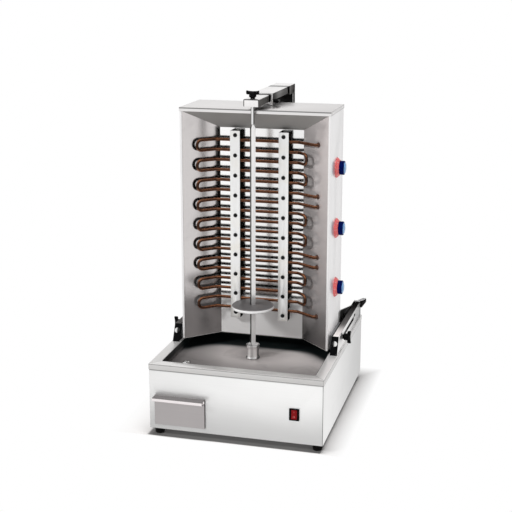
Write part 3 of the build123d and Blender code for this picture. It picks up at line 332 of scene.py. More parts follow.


# one steel finish: sheet holds its colour, the way of its lines, its roughness and how strong the lines are,
# and a shade step paints light and shade: (axis, from, to, factor there, factor here), in metres
def steelFinish(name, plan):
    colour, lines, rough, strength = plan["sheet"]
    shader, where = startFinish(name, {"metallic": 1.0, **plan})
    grain = brushed(where, lines, strength, rough, plan.get("spread", 0.10))
    result = toned(colour, grain["Tone"])
    roughness = grain["Roughness"]
    side = axes(where)
    for axis, *step in plan.get("shade", ()):
        result = toned(result, between(side[axis], *step))
    if "strip" in plan:  # painted shade down one corner alone
        xLow, xHigh, yLow, yHigh, dark = plan["strip"]
        corner = times(between(side["x"], xLow, xHigh, 1.0, 0.0), between(side["y"], yLow, yHigh, 1.0, 0.0))
        result = toned(result, between(corner, 0.0, 1.0, 1.0, dark))
    for level, *windows in plan.get("dark", ()):  # painted deep shade within limits along two axes
        inside = [calc(way, side[axis], limit) for axis, low, high in windows
                  for way, limit in (("GREATER_THAN", low), ("LESS_THAN", high))]
        result = blendColour(times(*inside), result, grey(level))
    if "heat" in plan:
        axis, low, high, most = plan["heat"]
        heat = useGroup(where, heatTint, {"Vector": where, "Heat": between(side[axis], low, high, 0.0, most)})
        result = toned(result, heat["Colour"])
    if "dull" in plan:
        axis, *step = plan["dull"]
        roughness = calc("ADD", roughness, between(side[axis], *step))
    if "marks" in plan:
        *patch, darker, rougher = plan["marks"]
        marks = wiped(where, *patch)
        result = toned(result, between(marks, 0.0, 1.0, 1.0, darker))
        roughness = calc("MULTIPLY_ADD", marks, rougher, roughness)
    if "edge" in plan:
        result = rubbed(result, *plan["edge"])
    if "matt" in plan:
        axis, *step = plan["matt"]
        plug(between(side[axis], *step), shader["Metallic"])
    endFinish(shader, result, roughness, grain["Height"])


alongX = (3.0, 340.0, 340.0)
alongY = (340.0, 3.0, 340.0)
alongZ = (340.0, 340.0, 3.0)
chalky = {"metallic": 0.0, "gloss": 0.0}
noTint = (*grey(0.0), 1.0)
faintTint = (*grey(0.06), 1.0)

gapLow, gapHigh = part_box("drawer_front")
pullTop = gapHigh.z
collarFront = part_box("arm_collar")[0].y
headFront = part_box("arm_head")[0].y
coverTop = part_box("top_cover")[1].z
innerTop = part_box("inner_arm")[1].z
spinY = (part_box("drive_cup")[0].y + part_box("drive_cup")[1].y) / 2
steelPlans = {
    # painted shade: darker to the left, low down and to the rear, lines under the rim's lip and at the corner, the
    # drawer's gap
    "cabinetFrontSteel": {
        "sheet": ((0.96, 0.96, 0.955), alongX, 0.36, 0.04), "metallic": 0.65, "gloss": 0.2,
        "shade": [("x", -0.225, 0.18, 0.88, 1.0), ("z", 0.02, 0.145, 0.66, 1.0), ("z", 0.1730, 0.1760, 1.0, 0.30),
                  ("x", 0.2218, 0.2228, 1.0, 0.40)],
        "dark": [(0.010, ("x", gapHigh.x - 0.0093, gapHigh.x + 0.0003), ("z", gapLow.z, gapHigh.z))],
        "marks": (7.0, 0.55, 0.75, 0.98, 0.04), "edge": (0.0022, grey(0.25), 0.6)},
    "cabinetSideSteel": {
        "sheet": ((0.87, 0.865, 0.86), alongY, 0.36, 0.04),
        "shade": [("y", -0.24, 0.30, 1.0, 0.66), ("z", 0.1730, 0.1760, 1.0, 0.30)],
        "marks": (7.0, 0.55, 0.75, 0.98, 0.04), "edge": (0.0016, grey(0.35), 0.5)},
    # painted highlight along the rolled pull and painted shade beneath it; the top and sides take shaded copies
    "drawerSteel": {
        "sheet": ((0.43, 0.405, 0.405), alongX, 0.36, 0.14), "edge": (0.0016, grey(0.05), 0.6),
        "shade": [("z", pullTop - 0.0105, pullTop - 0.0092, 1.0, 2.1),
                  ("z", pullTop - 0.0165, pullTop - 0.0140, 1.0, 0.72),
                  ("z", pullTop - 0.0110, pullTop - 0.0098, 1.0, 1.39)]},
    "drawerTopShadedSteel": {"sheet": ((0.17, 0.16, 0.16), alongX, 0.5, 0.10), **chalky},
    "drawerSideShadedSteel": {"sheet": ((0.06, 0.056, 0.056), alongZ, 0.5, 0.10), **chalky},
    # painted light: brighter low down, with dark edge lines
    "housingSteel": {
        "sheet": ((0.86, 0.85, 0.85), alongZ, 0.35, 0.05), "metallic": 0.85, "marks": (6.0, 0.55, 0.75, 0.97, 0.05),
        "dull": ("z", 0.25, 0.42, 0.25, 0.0), "shade": [("z", 0.20, 0.36, 1.13, 1.0)],
        "edge": (0.0016, grey(0.25), 0.5)},
    # painted shade: darker to the right and dark edge lines; the lip takes a lighter copy with a shade line at its top
    "coverSteel": {
        "sheet": ((0.72, 0.70, 0.695), alongX, 0.32, 0.10), "shade": [("x", 0.02, 0.20, 1.0, 0.90)],
        "edge": (0.0034, (0.10, 0.095, 0.09), 0.75)},
    "coverLipLitSteel": {
        "sheet": ((0.80, 0.785, 0.78), alongX, 0.32, 0.06),
        "shade": [("z", coverTop - 0.0034, coverTop - 0.0026, 1.0, 0.30)]},
    # painted shade on the arm: dark edge lines, and black bands at the collar's gap and before the head
    "armSteel": {"sheet": ((0.84, 0.825, 0.82), alongY, 0.30, 0.16), "edge": (0.0036, grey(0.02), 0.9)},
    "innerArmSteel": {
        "sheet": ((0.82, 0.805, 0.80), alongX, 0.30, 0.16),
        "shade": [("y", collarFront - 0.0140, collarFront - 0.0115, 1.0, 0.01)], "edge": (0.0036, grey(0.02), 0.9)},
    "innerSideShadedSteel": {
        "sheet": ((0.20, 0.195, 0.19), alongY, 0.30, 0.35), "tint": noTint, "metallic": 0.6, "gloss": 0.0,
        "shade": [("y", collarFront - 0.0150, collarFront - 0.0125, 1.0, 0.01)]},
    "innerFrontSteel": {
        "sheet": ((0.90, 0.885, 0.88), alongX, 0.32, 0.08), "metallic": 0.8, "gloss": 0.2,
        "shade": [("across", 0.0174, 0.0182, 1.0, 0.06), ("z", innerTop - 0.0030, innerTop - 0.0022, 1.0, 0.06)]},
    "sleeveSteel": {
        "sheet": ((0.82, 0.805, 0.80), alongY, 0.30, 0.16),
        "shade": [("y", headFront - 0.0320, headFront - 0.0290, 1.0, 0.01)]},
    # painted shade: darker copies for the sides, and for the post's front near the top
    "armSideShadedSteel": {
        "sheet": ((0.46, 0.455, 0.45), alongY, 0.34, 0.3), "tint": faintTint, "gloss": 0.0,
        "shade": [("y", headFront - 0.0280, headFront - 0.0240, 1.0, 0.01), ("y", 0.012, 0.085, 0.30, 1.0)],
        "matt": ("y", headFront - 0.0280, headFront - 0.0240, 1.0, 0.0)},
    "headSideShadedSteel": {
        "sheet": ((0.26, 0.255, 0.25), alongY, 0.32, 0.3), "tint": faintTint, "shade": [("z", 0.62, 0.78, 2.6, 1.0)]},
    "postFrontShadedSteel": {
        "sheet": ((0.60, 0.60, 0.595), alongX, 0.5, 0.12), "gloss": 0.0, "shade": [("z", 0.66, 0.79, 1.0, 0.02)],
        "matt": ("z", 0.66, 0.79, 0.9, 0.0)},
    # painted shade: darker to the rear, black in the hollow and round the slot, dark edge lines, and a shaded copy for
    # the tops
    "railSteel": {
        "sheet": ((0.80, 0.785, 0.78), alongY, 0.32, 0.10), "edge": (0.0014, grey(0.03), 0.6),
        "shade": [("y", 0.04, 0.245, 1.0, 0.34)],
        "dark": [(0.004, ("across", 0.2040, 0.22192), ("z", 0.0, 0.2347)),
                 (0.004, ("z", 0.2124, 0.2236), ("y", -0.0165, 0.1515))]},
    "railTopShadedSteel": {
        "sheet": ((0.66, 0.625, 0.615), alongY, 0.5, 0.14), **chalky,
        "shade": [("y", -0.04, 0.05, 1.45, 0.28), ("y", 0.06, 0.22, 1.0, 0.07), ("x", -0.1, 0.1, 0.10, 1.0),
                  ("across", 0.2058, 0.2070, 0.02, 1.0)]},
    # painted shade: a dark copy for the stays' sides
    "stayShadedSteel": {"sheet": (grey(0.18), alongY, 0.28, 0.3), "tint": noTint},
    "guardSteel": {
        "sheet": ((0.89, 0.89, 0.885), alongZ, 0.44, 0.05), "metallic": 0.8, "gloss": 0.2,
        "heat": ("z", 0.80, 0.20, 0.04)},
    # painted shade: black sides and tops of the guard bars
    "guardSideShadedSteel": {"sheet": ((0.012, 0.011, 0.010), alongZ, 0.5, 0.3), **chalky},
    # painted light and shade: the back reflector lighter to the left, the side ones darker low down, the right one
    # lighter high up
    "backReflectorSteel": {
        "sheet": ((0.88, 0.875, 0.87), alongX, 0.15, 0.04), "spread": 0.05, "gloss": 0.2,
        "dull": ("z", 0.285, 0.325, 0.30, 0.0), "matt": ("z", 0.285, 0.325, 0.25, 1.0),
        "shade": [("x", -0.11, 0.06, 1.11, 0.98), ("z", 0.285, 0.325, 1.02, 1.0)],
        "marks": (9.0, 0.56, 0.72, 0.95, 0.05)},
    "leftReflectorSteel": {
        "sheet": ((0.63, 0.60, 0.595), alongZ, 0.17, 0.07), "spread": 0.05, "gloss": 0.2,
        "shade": [("z", 0.24, 0.36, 0.50, 1.0)], "matt": ("z", 0.24, 0.38, 0.45, 1.0),
        "marks": (8.0, 0.52, 0.74, 0.94, 0.05)},
    "rightReflectorSteel": {
        "sheet": ((0.92, 0.865, 0.86), alongZ, 0.20, 0.07), "metallic": 0.55, "gloss": 0.2, "spread": 0.05,
        "shade": [("z", 0.20, 0.36, 0.20, 0.79), ("z", 0.36, 0.75, 0.84, 1.22)],
        "marks": (8.0, 0.52, 0.74, 0.94, 0.05)},
    "roofReflectorSteel": {
        "sheet": ((0.40, 0.395, 0.385), alongX, 0.55, 0.06), "metallic": 0.3, "gloss": 0.2,
        "marks": (8.0, 0.52, 0.74, 0.94, 0.06)},
    # painted reflection: the inner half of each button dark, with a dark edge line
    "buttonChrome": {
        "sheet": ((0.75, 0.745, 0.74), alongX, 0.22, 0.05), "shade": [("across", 0.2105, 0.2150, 0.04, 1.0)],
        "edge": (0.0010, grey(0.01), 0.9)},
    # painted light and shade: the spit brighter low down with a dark strip down one corner, the pin dark down its sides
    "spitSteel": {
        "sheet": ((0.86, 0.855, 0.85), alongZ, 0.26, 0.06), "metallic": 0.62, "gloss": 0.2,
        "shade": [("z", 0.29, 0.315, 1.15, 1.0), ("z", 0.36, 0.56, 1.0, 0.94)],
        "matt": ("z", 0.290, 0.310, 0.15, 0.62), "strip": (-0.0024, -0.0014, spinY + 0.0005, spinY + 0.0016, 0.03)},
    "pinSteel": {
        "sheet": ((0.82, 0.815, 0.81), alongZ, 0.20, 0.05),
        "strip": (-0.0030, -0.0018, spinY - 0.0022, spinY + 0.0010, 0.02),
        "shade": [("x", 0.0016, 0.0028, 1.0, 0.15)]},
    # painted reflection: dark and bright bands across the cup, and a bright edge line
    "cupSteel": {
        "sheet": ((0.86, 0.855, 0.85), alongX, 0.16, 0.05), "metallic": 0.7, "gloss": 0.3,
        "shade": [("x", -0.0150, -0.0105, 0.15, 1.0), ("x", -0.0040, -0.0010, 1.12, 0.72),
                  ("x", 0.0035, 0.0065, 1.0, 1.45), ("x", 0.0115, 0.0150, 1.0, 0.18)],
        "edge": (0.0010, (0.93, 0.93, 0.92), 0.5)},
    # painted highlight: a lighter copy for the disc's rim
    "discEdgeLitSteel": {"sheet": ((0.92, 0.915, 0.91), alongX, 0.4, 0.04), "metallic": 0.35, "gloss": 0.2},
    "hiddenSteel": {"sheet": ((0.55, 0.55, 0.545), alongX, 0.42, 0.08)},
    "brightSteel": {"sheet": ((0.88, 0.88, 0.875), alongX, 0.10, 0.04)},
}
for name, plan in steelPlans.items():
    steelFinish(name, plan)

# rim: brushed frame with mitred corners, seen as a fine line from each inner to each outer corner
# painted light and shade: darker left, lighter right, a darker front strip, a line at the lip's fold, dark edges
rimLook = {"colour": (0.71, 0.70, 0.69), "sides": (0.84, 1.10), "roughness": 0.34, "halfWidth": 0.225, "mitre": 0.0014,
           "mitreTone": 0.50, "frontShade": 0.97, "lipShade": 0.92, "foldLineShade": 0.45, "metallic": 0.6, "gloss": 0.2}
shader, where = startFinish("rimSteel", rimLook)
side = axes(where)
grain = brushed(where, alongX, 0.06, rimLook["roughness"], 0.08)
fromSide = calc("SUBTRACT", rimLook["halfWidth"], side["across"])
offMitre = calc("SUBTRACT", fromSide, calc("SUBTRACT", side["y"], frontY))
frontPart = between(offMitre, -0.0003, 0.0003)
sideShade = between(side["x"], -0.2, 0.2, *rimLook["sides"])
lipStep = between(side["z"], rimZ - 0.0030, rimZ - 0.0002, rimLook["lipShade"], 1.0)
lipLine = calc("COMPARE", side["z"], rimZ - 0.0018, 0.0008)
rimHighlight = toned(rimLook["colour"], grain["Tone"])
for factor in (between(calc("ABSOLUTE", offMitre), 0.0, rimLook["mitre"], rimLook["mitreTone"], 1.0),
               between(frontPart, 0.0, 1.0, sideShade, rimLook["frontShade"]),
               times(lipStep, between(lipLine, 0.0, 1.0, 1.0, rimLook["foldLineShade"]))):
    rimHighlight = toned(rimHighlight, factor)
endFinish(shader, rubbed(rimHighlight, 0.0012, grey(0.20), 0.5), grain["Roughness"], grain["Height"])

# pan: painted shade under the heater housing and on its walls, darker to the left and the front, so brighter in the
# middle, with wiped patches
panLook = {"colour": (0.62, 0.578, 0.568), "roughness": 0.40, "metallic": 0.45, "gloss": 0.0, "shadeReach": 0.036,
           "nicheX": 0.1905, "shadeColours": ((0.012, 0.0165, 0.017), (0.022, 0.025, 0.025)), "thick": 0.0015,
           "shade": (("x", -0.21, -0.02, 0.40, 1.0), ("x", 0.02, 0.20, 1.0, 0.96),
                     ("y", frontY + 0.085, frontY + 0.190, 0.52, 1.0))}
wallX, wallY = 0.692, 0.722  # how far the side reflectors turn to the side and to the back
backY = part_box("back_reflector")[0].y
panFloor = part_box("drip_pan")[0].z + panLook["thick"]
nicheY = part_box("left_reflector")[0].y
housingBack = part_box("housing_rear_panel")[1].y
shader, where = startFinish("panSteel", panLook)
side = axes(where)
grain = brushed(where, alongX, 0.10, panLook["roughness"], 0.08)
film = wiped(where, 11.0, 0.48, 0.72)
acrossPart = times(calc("SUBTRACT", panLook["nicheX"], side["across"]), wallX)
fromWall = calc("MULTIPLY_ADD", calc("SUBTRACT", nicheY, side["y"]), wallY, acrossPart)
unshaded = between(calc("SUBTRACT", backY, side["y"]), 0.0, panLook["shadeReach"])
unshaded = times(unshaded, between(fromWall, -0.020, 0.030))
unshaded = calc("MAXIMUM", unshaded, between(side["y"], housingBack - 0.015, housingBack + 0.070))
unshaded = times(unshaded, between(side["z"], panFloor + 0.003, panFloor + 0.012, 1.0, 0.25),
              between(film, 0.0, 1.0, 1.0, 0.86))
panTone = toned(panLook["colour"], grain["Tone"])
for axis, *step in panLook["shade"]:
    panTone = toned(panTone, between(side[axis], *step))
panTone = blendColour(unshaded, blendColour(film, *panLook["shadeColours"]), panTone)
plug(times(unshaded, panLook["metallic"]), shader["Metallic"])
endFinish(shader, panTone, calc("MULTIPLY_ADD", film, 0.10, grain["Roughness"]), grain["Height"])

# disc: turned rings round the spit, with a painted highlight round its rim
discLook = {"colour": (0.105, 0.101, 0.102), "rings": 1500.0, "roughness": 0.32, "rim": (0.0515, 0.0535),
            "rimHighlight": 2.0, "fat": (0.20, 0.16, 0.13), "metallic": 0.25, "gloss": 0.05}
shader, where = startFinish("discSteel", discLook)
side = axes(addNode(where.id_data, "Mapping", {"Vector": where, "Location": (0.0, -spinY, 0.0)}).outputs["Vector"])
reach = calc("SQRT", calc("ADD", times(side["x"], side["x"]), times(side["y"], side["y"])))
rings = calc("SINE", times(reach, discLook["rings"]))
film = wiped(where, 24.0, 0.5, 0.72)
discTone = toned(discLook["colour"], calc("MULTIPLY_ADD", rings, 0.05, 1.0))
discTone = toned(discTone, between(reach, *discLook["rim"], 1.0, discLook["rimHighlight"]))
discTone = blendColour(times(film, 0.25), discTone, discLook["fat"])
endFinish(shader, discTone, calc("MULTIPLY_ADD", film, 0.10, discLook["roughness"]), rings, 0.05, 0.0002)

# heater sheath: oxidised tube, browner in patches, with painted shade where it faces the reflectors and a painted dark
# band along its middle
sheathLook = {"colour": (0.36, 0.150, 0.075), "dark": (0.055, 0.026, 0.018), "wallSideShade": (0.004, 0.003, 0.003),
              "metallic": 0.85, "middleShade": 0.14, "bandMiddle": 0.02, "roughness": 0.24}
shader, where = startFinish("heaterSheath", sheathLook)
oxide = wiped(where, 70.0, 0.42, 0.75)
skin = useGroup(where, mouldedSkin, {"Vector": where, "Scale": 700.0, "Strength": 0.5})
facing = axes(addNode(where.id_data, "NewGeometry").outputs["Normal"])
toWall = times(facing["x"], calc("SIGN", axes(where)["x"]), wallX)
toWall = calc("MULTIPLY_ADD", facing["y"], wallY, toWall)
belt = calc("ABSOLUTE", calc("SUBTRACT", facing["z"], sheathLook["bandMiddle"]))
sheathTone = blendColour(times(oxide, 0.6), sheathLook["colour"], sheathLook["dark"])
sheathTone = toned(sheathTone, skin["Tone"])
sheathTone = blendColour(between(toWall, -0.15, 0.25), sheathTone, sheathLook["wallSideShade"])
sheathTone = toned(sheathTone, between(belt, 0.22, 0.62, sheathLook["middleShade"], 1.0))
sheathRough = calc("MULTIPLY_ADD", oxide, 0.22, sheathLook["roughness"])
endFinish(shader, sheathTone, sheathRough, skin["Height"], 0.12, 0.0003)


# moulded, painted and cast finishes: skin holds colour, roughness, grain, how strong the grain is and dust
def skinFinish(name, plan):
    shader, where = startFinish(name, plan)
    colour, rough, grain, strength, dust = plan["skin"]
    skin = useGroup(where, mouldedSkin, {"Vector": where, "Scale": grain, "Strength": strength})
    marks = wiped(where, 40.0, 0.5, 0.75)
    result = toned(colour, skin["Tone"])
    result = blendColour(times(marks, dust), result, plan.get("dustColour", (0.30, 0.29, 0.28)))
    if "edge" in plan:
        result = rubbed(result, *plan["edge"])
    endFinish(shader, result, calc("MULTIPLY_ADD", marks, 0.12, rough), skin["Height"], 0.10, 0.0003)


skinPlans = {
    # painted highlight: pale edge lines on the black mouldings
    "blackMoulding": {
        "skin": ((0.0022, 0.0022, 0.0025), 0.28, 900.0, 0.4, 0.003), "edge": (0.0010, (0.10, 0.10, 0.105), 0.22),
        "gloss": 0.04},
    # painted highlight: a lighter copy for the tops of the rails' rear caps
    "railEndTopLit": {"skin": ((0.50, 0.495, 0.50), 0.45, 900.0, 0.4, 0.02), "gloss": 0.12},
    "blackOxide": {"skin": (grey(0.005), 0.40, 1200.0, 0.4, 0.015), "gloss": 0.2},
    "dialRed": {"skin": ((0.98, 0.175, 0.175), 0.34, 900.0, 0.08, 0.04), "dustColour": (0.9, 0.4, 0.35)},
    "knobNavy": {"skin": ((0.001, 0.008, 0.110), 0.34, 900.0, 0.15, 0.01), "gloss": 0.03},
    "knobFaceBlue": {
        "skin": ((0.20, 0.48, 0.90), 0.24, 900.0, 0.06, 0.03), "dustColour": (0.5, 0.7, 0.9), "coat": 0.3},
    "rockerLens": {
        "skin": ((0.19, 0.003, 0.005), 0.26, 300.0, 0.10, 0.01), "gloss": 0.12, "glow": 0.03,
        "glowColour": (1.0, 0.02, 0.02, 1.0)},
    "footRubber": {"skin": (grey(0.005), 0.72, 600.0, 0.5, 0.02), "gloss": 0.05},
    "motorPaint": {"skin": ((0.17, 0.19, 0.21), 0.45, 500.0, 0.25, 0.12)},
    "bushBronze": {"skin": ((0.58, 0.40, 0.18), 0.30, 800.0, 0.2, 0.12), "metallic": 1.0},
    "whiteCeramic": {"skin": ((0.80, 0.78, 0.72), 0.55, 500.0, 0.10, 0.12)},
    "greyNylon": {"skin": ((0.20, 0.20, 0.21), 0.50, 700.0, 0.2, 0.12)},
    "terminalNut": {"skin": ((0.10, 0.050, 0.034), 0.42, 700.0, 0.5, 0.05), "metallic": 0.6},
    "whitePrint": {"skin": ((0.88, 0.88, 0.86), 0.45, 900.0, 0.06, 0.12)},
    "palePrint": {"skin": ((0.50, 0.16, 0.15), 0.40, 900.0, 0.06, 0.12)},
}
for name, plan in skinPlans.items():
    skinFinish(name, plan)
print("finishes made:", len(finishes))


# mesh helpers: outlines and sizes are in millimetres, seats are matrices in metres
def at(x, y, z):
    return Matrix.Translation((x, y, z))


def moved(x, y, z):
    return Matrix.Translation((x * mm, y * mm, z * mm))


def spun(angle, axis):
    return Matrix.Rotation(angle, 4, axis)


def seatOn(spot, outward):
    return Matrix.Translation(spot) @ Vector((0, 0, 1)).rotation_difference(Vector(outward)).to_matrix().to_4x4()


def finishPiece(name, mesh, looks, body, stands=(), angle=30.0):
    bmesh.ops.recalc_face_normals(mesh, faces=mesh.faces)
    data = bpy.data.meshes.new(name)
    mesh.to_mesh(data)
    mesh.free()
    for face in data.polygons:
        face.use_smooth = True
    data.set_sharp_from_angle(angle=math.radians(angle))
    for look in looks:
        data.materials.append(finishes[look])
    piece = bpy.data.objects.new(name, data)
    scene.collection.objects.link(piece)
    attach(piece, body)
    if stands:
        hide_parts(*stands)


def paintNew(mesh, oldFaces, look):
    for face in mesh.faces:
        if face not in oldFaces:
            face.material_index = look


def breakEdges(mesh, edges, rounding, segments, clamp=False):
    bmesh.ops.bevel(mesh, geom=edges, offset=rounding * mm, affect="EDGES", segments=segments, profile=0.5, material=-1,
                    clamp_overlap=clamp)


def turned(mesh, outline, steps, seat, look=0):
    oldVerts = set(mesh.verts)
    oldFaces = set(mesh.faces)
    points = [mesh.verts.new((radius * mm, 0.0, height * mm)) for radius, height in outline]
    edges = [mesh.edges.new(pair) for pair in zip(points, points[1:])]
    bmesh.ops.spin(mesh, geom=points + edges, cent=(0, 0, 0), axis=(0, 0, 1), angle=math.tau, steps=steps, use_merge=True)
    bmesh.ops.remove_doubles(mesh, verts=[vert for vert in mesh.verts if vert not in oldVerts], dist=1e-6)
    bmesh.ops.transform(mesh, matrix=seat, verts=[vert for vert in mesh.verts if vert not in oldVerts])
    paintNew(mesh, oldFaces, look)


def block(mesh, size, seat, rounding=0.0, segments=2, look=0):
    oldFaces = set(mesh.faces)
    stretch = Matrix.Diagonal((*(length * mm for length in size), 1.0))
    made = bmesh.ops.create_cube(mesh, size=1.0, matrix=seat @ stretch)["verts"]
    if rounding > 0.0:
        breakEdges(mesh, list({edge for vert in made for edge in vert.link_edges}), rounding, segments)
    paintNew(mesh, oldFaces, look)


def slab(mesh, outline, thick, seat, rounding, segments):
    oldVerts = set(mesh.verts)
    face = mesh.faces.new([mesh.verts.new((x * mm, -thick / 2 * mm, z * mm)) for x, z in outline])
    grown = bmesh.ops.extrude_face_region(mesh, geom=[face])["geom"]
    grownVerts = [item for item in grown if isinstance(item, bmesh.types.BMVert)]
    bmesh.ops.translate(mesh, verts=grownVerts, vec=(0, thick * mm, 0))
    edges = list({edge for vert in mesh.verts if vert not in oldVerts for edge in vert.link_edges})
    breakEdges(mesh, edges, rounding, segments)
    bmesh.ops.transform(mesh, matrix=seat, verts=[vert for vert in mesh.verts if vert not in oldVerts])


def letter(mesh, words, size, depth, seat, look):
    oldFaces = set(mesh.faces)
    curve = bpy.data.curves.new("words", "FONT")
    curve.body = words
    curve.size = size * mm
    curve.extrude = depth * mm
    curve.align_x = "CENTER"
    curve.align_y = "CENTER"
    holder = bpy.data.objects.new("words", curve)
    scene.collection.objects.link(holder)
    graph = bpy.context.evaluated_depsgraph_get()
    data = bpy.data.meshes.new_from_object(holder.evaluated_get(graph))
    data.transform(seat)
    mesh.from_mesh(data)
    bpy.data.objects.remove(holder)
    bpy.data.curves.remove(curve)
    bpy.data.meshes.remove(data)
    paintNew(mesh, oldFaces, look)


# a copy of a solid with its edges broken, as folded sheet and mouldings have them
def softCopy(node, rounding, segments, sharp):
    mesh = bmesh.new()
    mesh.from_mesh(nodes[node].data)
    bmesh.ops.remove_doubles(mesh, verts=mesh.verts, dist=2e-6)
    bmesh.ops.dissolve_limit(mesh, angle_limit=math.radians(0.6), verts=mesh.verts, edges=mesh.edges)
    for face in mesh.faces:
        face.material_index = 0
    if rounding > 0.0:
        edges = [edge for edge in mesh.edges
                 if len(edge.link_faces) == 2 and edge.calc_face_angle() > math.radians(sharp)]
        breakEdges(mesh, edges, rounding, segments, True)
    return mesh


def screwHead(mesh, spot, outward, radius, height):
    seat = seatOn(spot, outward)
    turned(mesh, [(0.0, height * 0.45), (radius * 0.34, height * 0.45), (radius * 0.40, height),
                  (radius * 0.72, height * 0.86), (radius * 0.96, height * 0.42), (radius, 0.0)], 16, seat)
    for turn in (0.0, math.pi / 2):
        cross = seat @ spun(turn + 0.4, "Z") @ moved(0, 0, height * 0.72)
        block(mesh, (radius * 1.05, radius * 0.22, height * 0.30), cross, look=1)


# every solid gets its finish here, and some are replaced further down
lookNodes = {
    "cabinetFrontSteel": "base_front_panel base_rear_panel", "cabinetSideSteel": "base_side_panels housing_stays",
    "hiddenSteel": "base_floor motor_bracket drawer_runners drawer_tray housing_floor",
    "housingSteel": "housing_left_panel housing_right_panel housing_rear_panel",
    "blackMoulding": "rail_front_caps rail_rear_caps switch_body cable_gland top_pin_knob left_rail_knob "
                     "right_rail_knob arm_lock_knob",
    "armSteel": "arm_post arm_head arm_collar", "sleeveSteel": "arm_sleeve", "innerArmSteel": "inner_arm",
    "rimSteel": "top_rim", "panSteel": "drip_pan", "brightSteel": "drain_spout", "footRubber": "rubber_feet",
    "railSteel": "left_rail right_rail", "motorPaint": "gear_motor", "bushBronze": "shaft_bush",
    "whiteCeramic": "terminal_block heat_regulators", "drawerSteel": "drawer_front", "rockerLens": "switch_rocker",
    "cupSteel": "drive_shaft drive_cup", "spitSteel": "spit_bar disc_pin", "discSteel": "meat_disc",
    "pinSteel": "top_pin", "coverSteel": "top_cover", "backReflectorSteel": "back_reflector",
    "leftReflectorSteel": "left_reflector", "rightReflectorSteel": "right_reflector",
    "roofReflectorSteel": "top_reflector", "heaterSheath": "heater_upper heater_middle heater_lower",
    "terminalNut": "heater_bushings", "guardSteel": "left_guard_bar right_guard_bar", "blackOxide": "guard_screws",
    "dialRed": "knob_dials", "greyNylon": "slide_shoes", "knobNavy": "knob_upper knob_middle knob_lower",
}
nodeLooks = {node: look for look, group in lookNodes.items() for node in group.split()}
for node, look in nodeLooks.items():
    data = nodes[node].data
    data.materials.clear()
    data.materials.append(finishes[look])
print("solids painted:", len(nodeLooks))

# folded sheet and mouldings, by body and slot: how far each solid's edges are broken
softPlan = {
    ("base", "stainless"): {
        "base_front_panel": 0.35, "base_side_panels": 0.35, "top_rim": 0.45, "left_rail": 0.4, "right_rail": 0.4,
        "arm_post": 0.6, "arm_head": 0.8, "arm_sleeve": 0.6, "arm_collar": 0.5, "inner_arm": 0.5},
    ("base", "black_plastic"): {"rail_front_caps": 0.8, "rail_rear_caps": 1.2, "switch_body": 0.5},
    ("base", "pan_steel"): {"drain_spout": 0.3},
    ("drawer", "stainless"): {"drawer_front": 0.4},
    ("heater_housing", "stainless"): {
        "housing_left_panel": 0.4, "housing_right_panel": 0.4, "top_cover": 0.35, "left_guard_bar": 0.35,
        "right_guard_bar": 0.35, "housing_stays": 0.4},
    ("heater_housing", "heater_sheath"): {"heater_upper": 0.0, "heater_middle": 0.0, "heater_lower": 0.0},
    ("spit", "spit_steel"): {"spit_bar": 0.6, "meat_disc": 0.5, "drive_cup": 0.5},
    ("locking_pin", "spit_steel"): {"top_pin": 0.3},
}
# painted light and shade: faces that point a given way take a lighter or darker copy of their finish
guardTurns = {"guardSideShadedSteel": "sides top"}
railTurns = {"railTopShadedSteel": "top"}
armTurns = {"armSideShadedSteel": "sides bottom"}
litAndShadedLooks = {  # faces that point a given way and take another look
    "arm_post": {"headSideShadedSteel": "sides", "postFrontShadedSteel": "front"},
    "arm_head": {"headSideShadedSteel": "sides bottom", "postFrontShadedSteel": "front"},
    "inner_arm": {"innerSideShadedSteel": "sides bottom", "innerFrontSteel": "front"},
    "arm_sleeve": armTurns, "arm_collar": armTurns, "left_guard_bar": guardTurns, "right_guard_bar": guardTurns,
    "left_rail": railTurns, "right_rail": railTurns,
    "drawer_front": {"drawerTopShadedSteel": "top", "drawerSideShadedSteel": "sides"},
    "top_cover": {"coverLipLitSteel": "front"}, "housing_stays": {"stayShadedSteel": "sides"},
    "rail_rear_caps": {"railEndTopLit": "top"}, "meat_disc": {"discEdgeLitSteel": "round"},
}
breakShape = {"segments": 2, "sharp": 40.0, "smooth": 35.0, "aim": 0.75}
for (body, slotName), group in softPlan.items():
    for node, rounding in group.items():
        mesh = softCopy(node, rounding, breakShape["segments"], breakShape["sharp"])
        extra = litAndShadedLooks.get(node, {})
        for face in mesh.faces:
            face.normal_update()
            x, y, z = face.normal
            ways = {"sides": abs(x), "top": z, "bottom": -z, "front": -y, "round": 1.0 - abs(z)}
            for index, aims in enumerate(extra.values()):
                if any(ways[aim] > breakShape["aim"] for aim in aims.split()):
                    face.material_index = index + 1
        finishPiece(node + "_dressed", mesh, [nodeLooks[node], *extra], body, (node,), breakShape["smooth"])
print("edges broken on", sum(len(group) for group in softPlan.values()), "pieces")

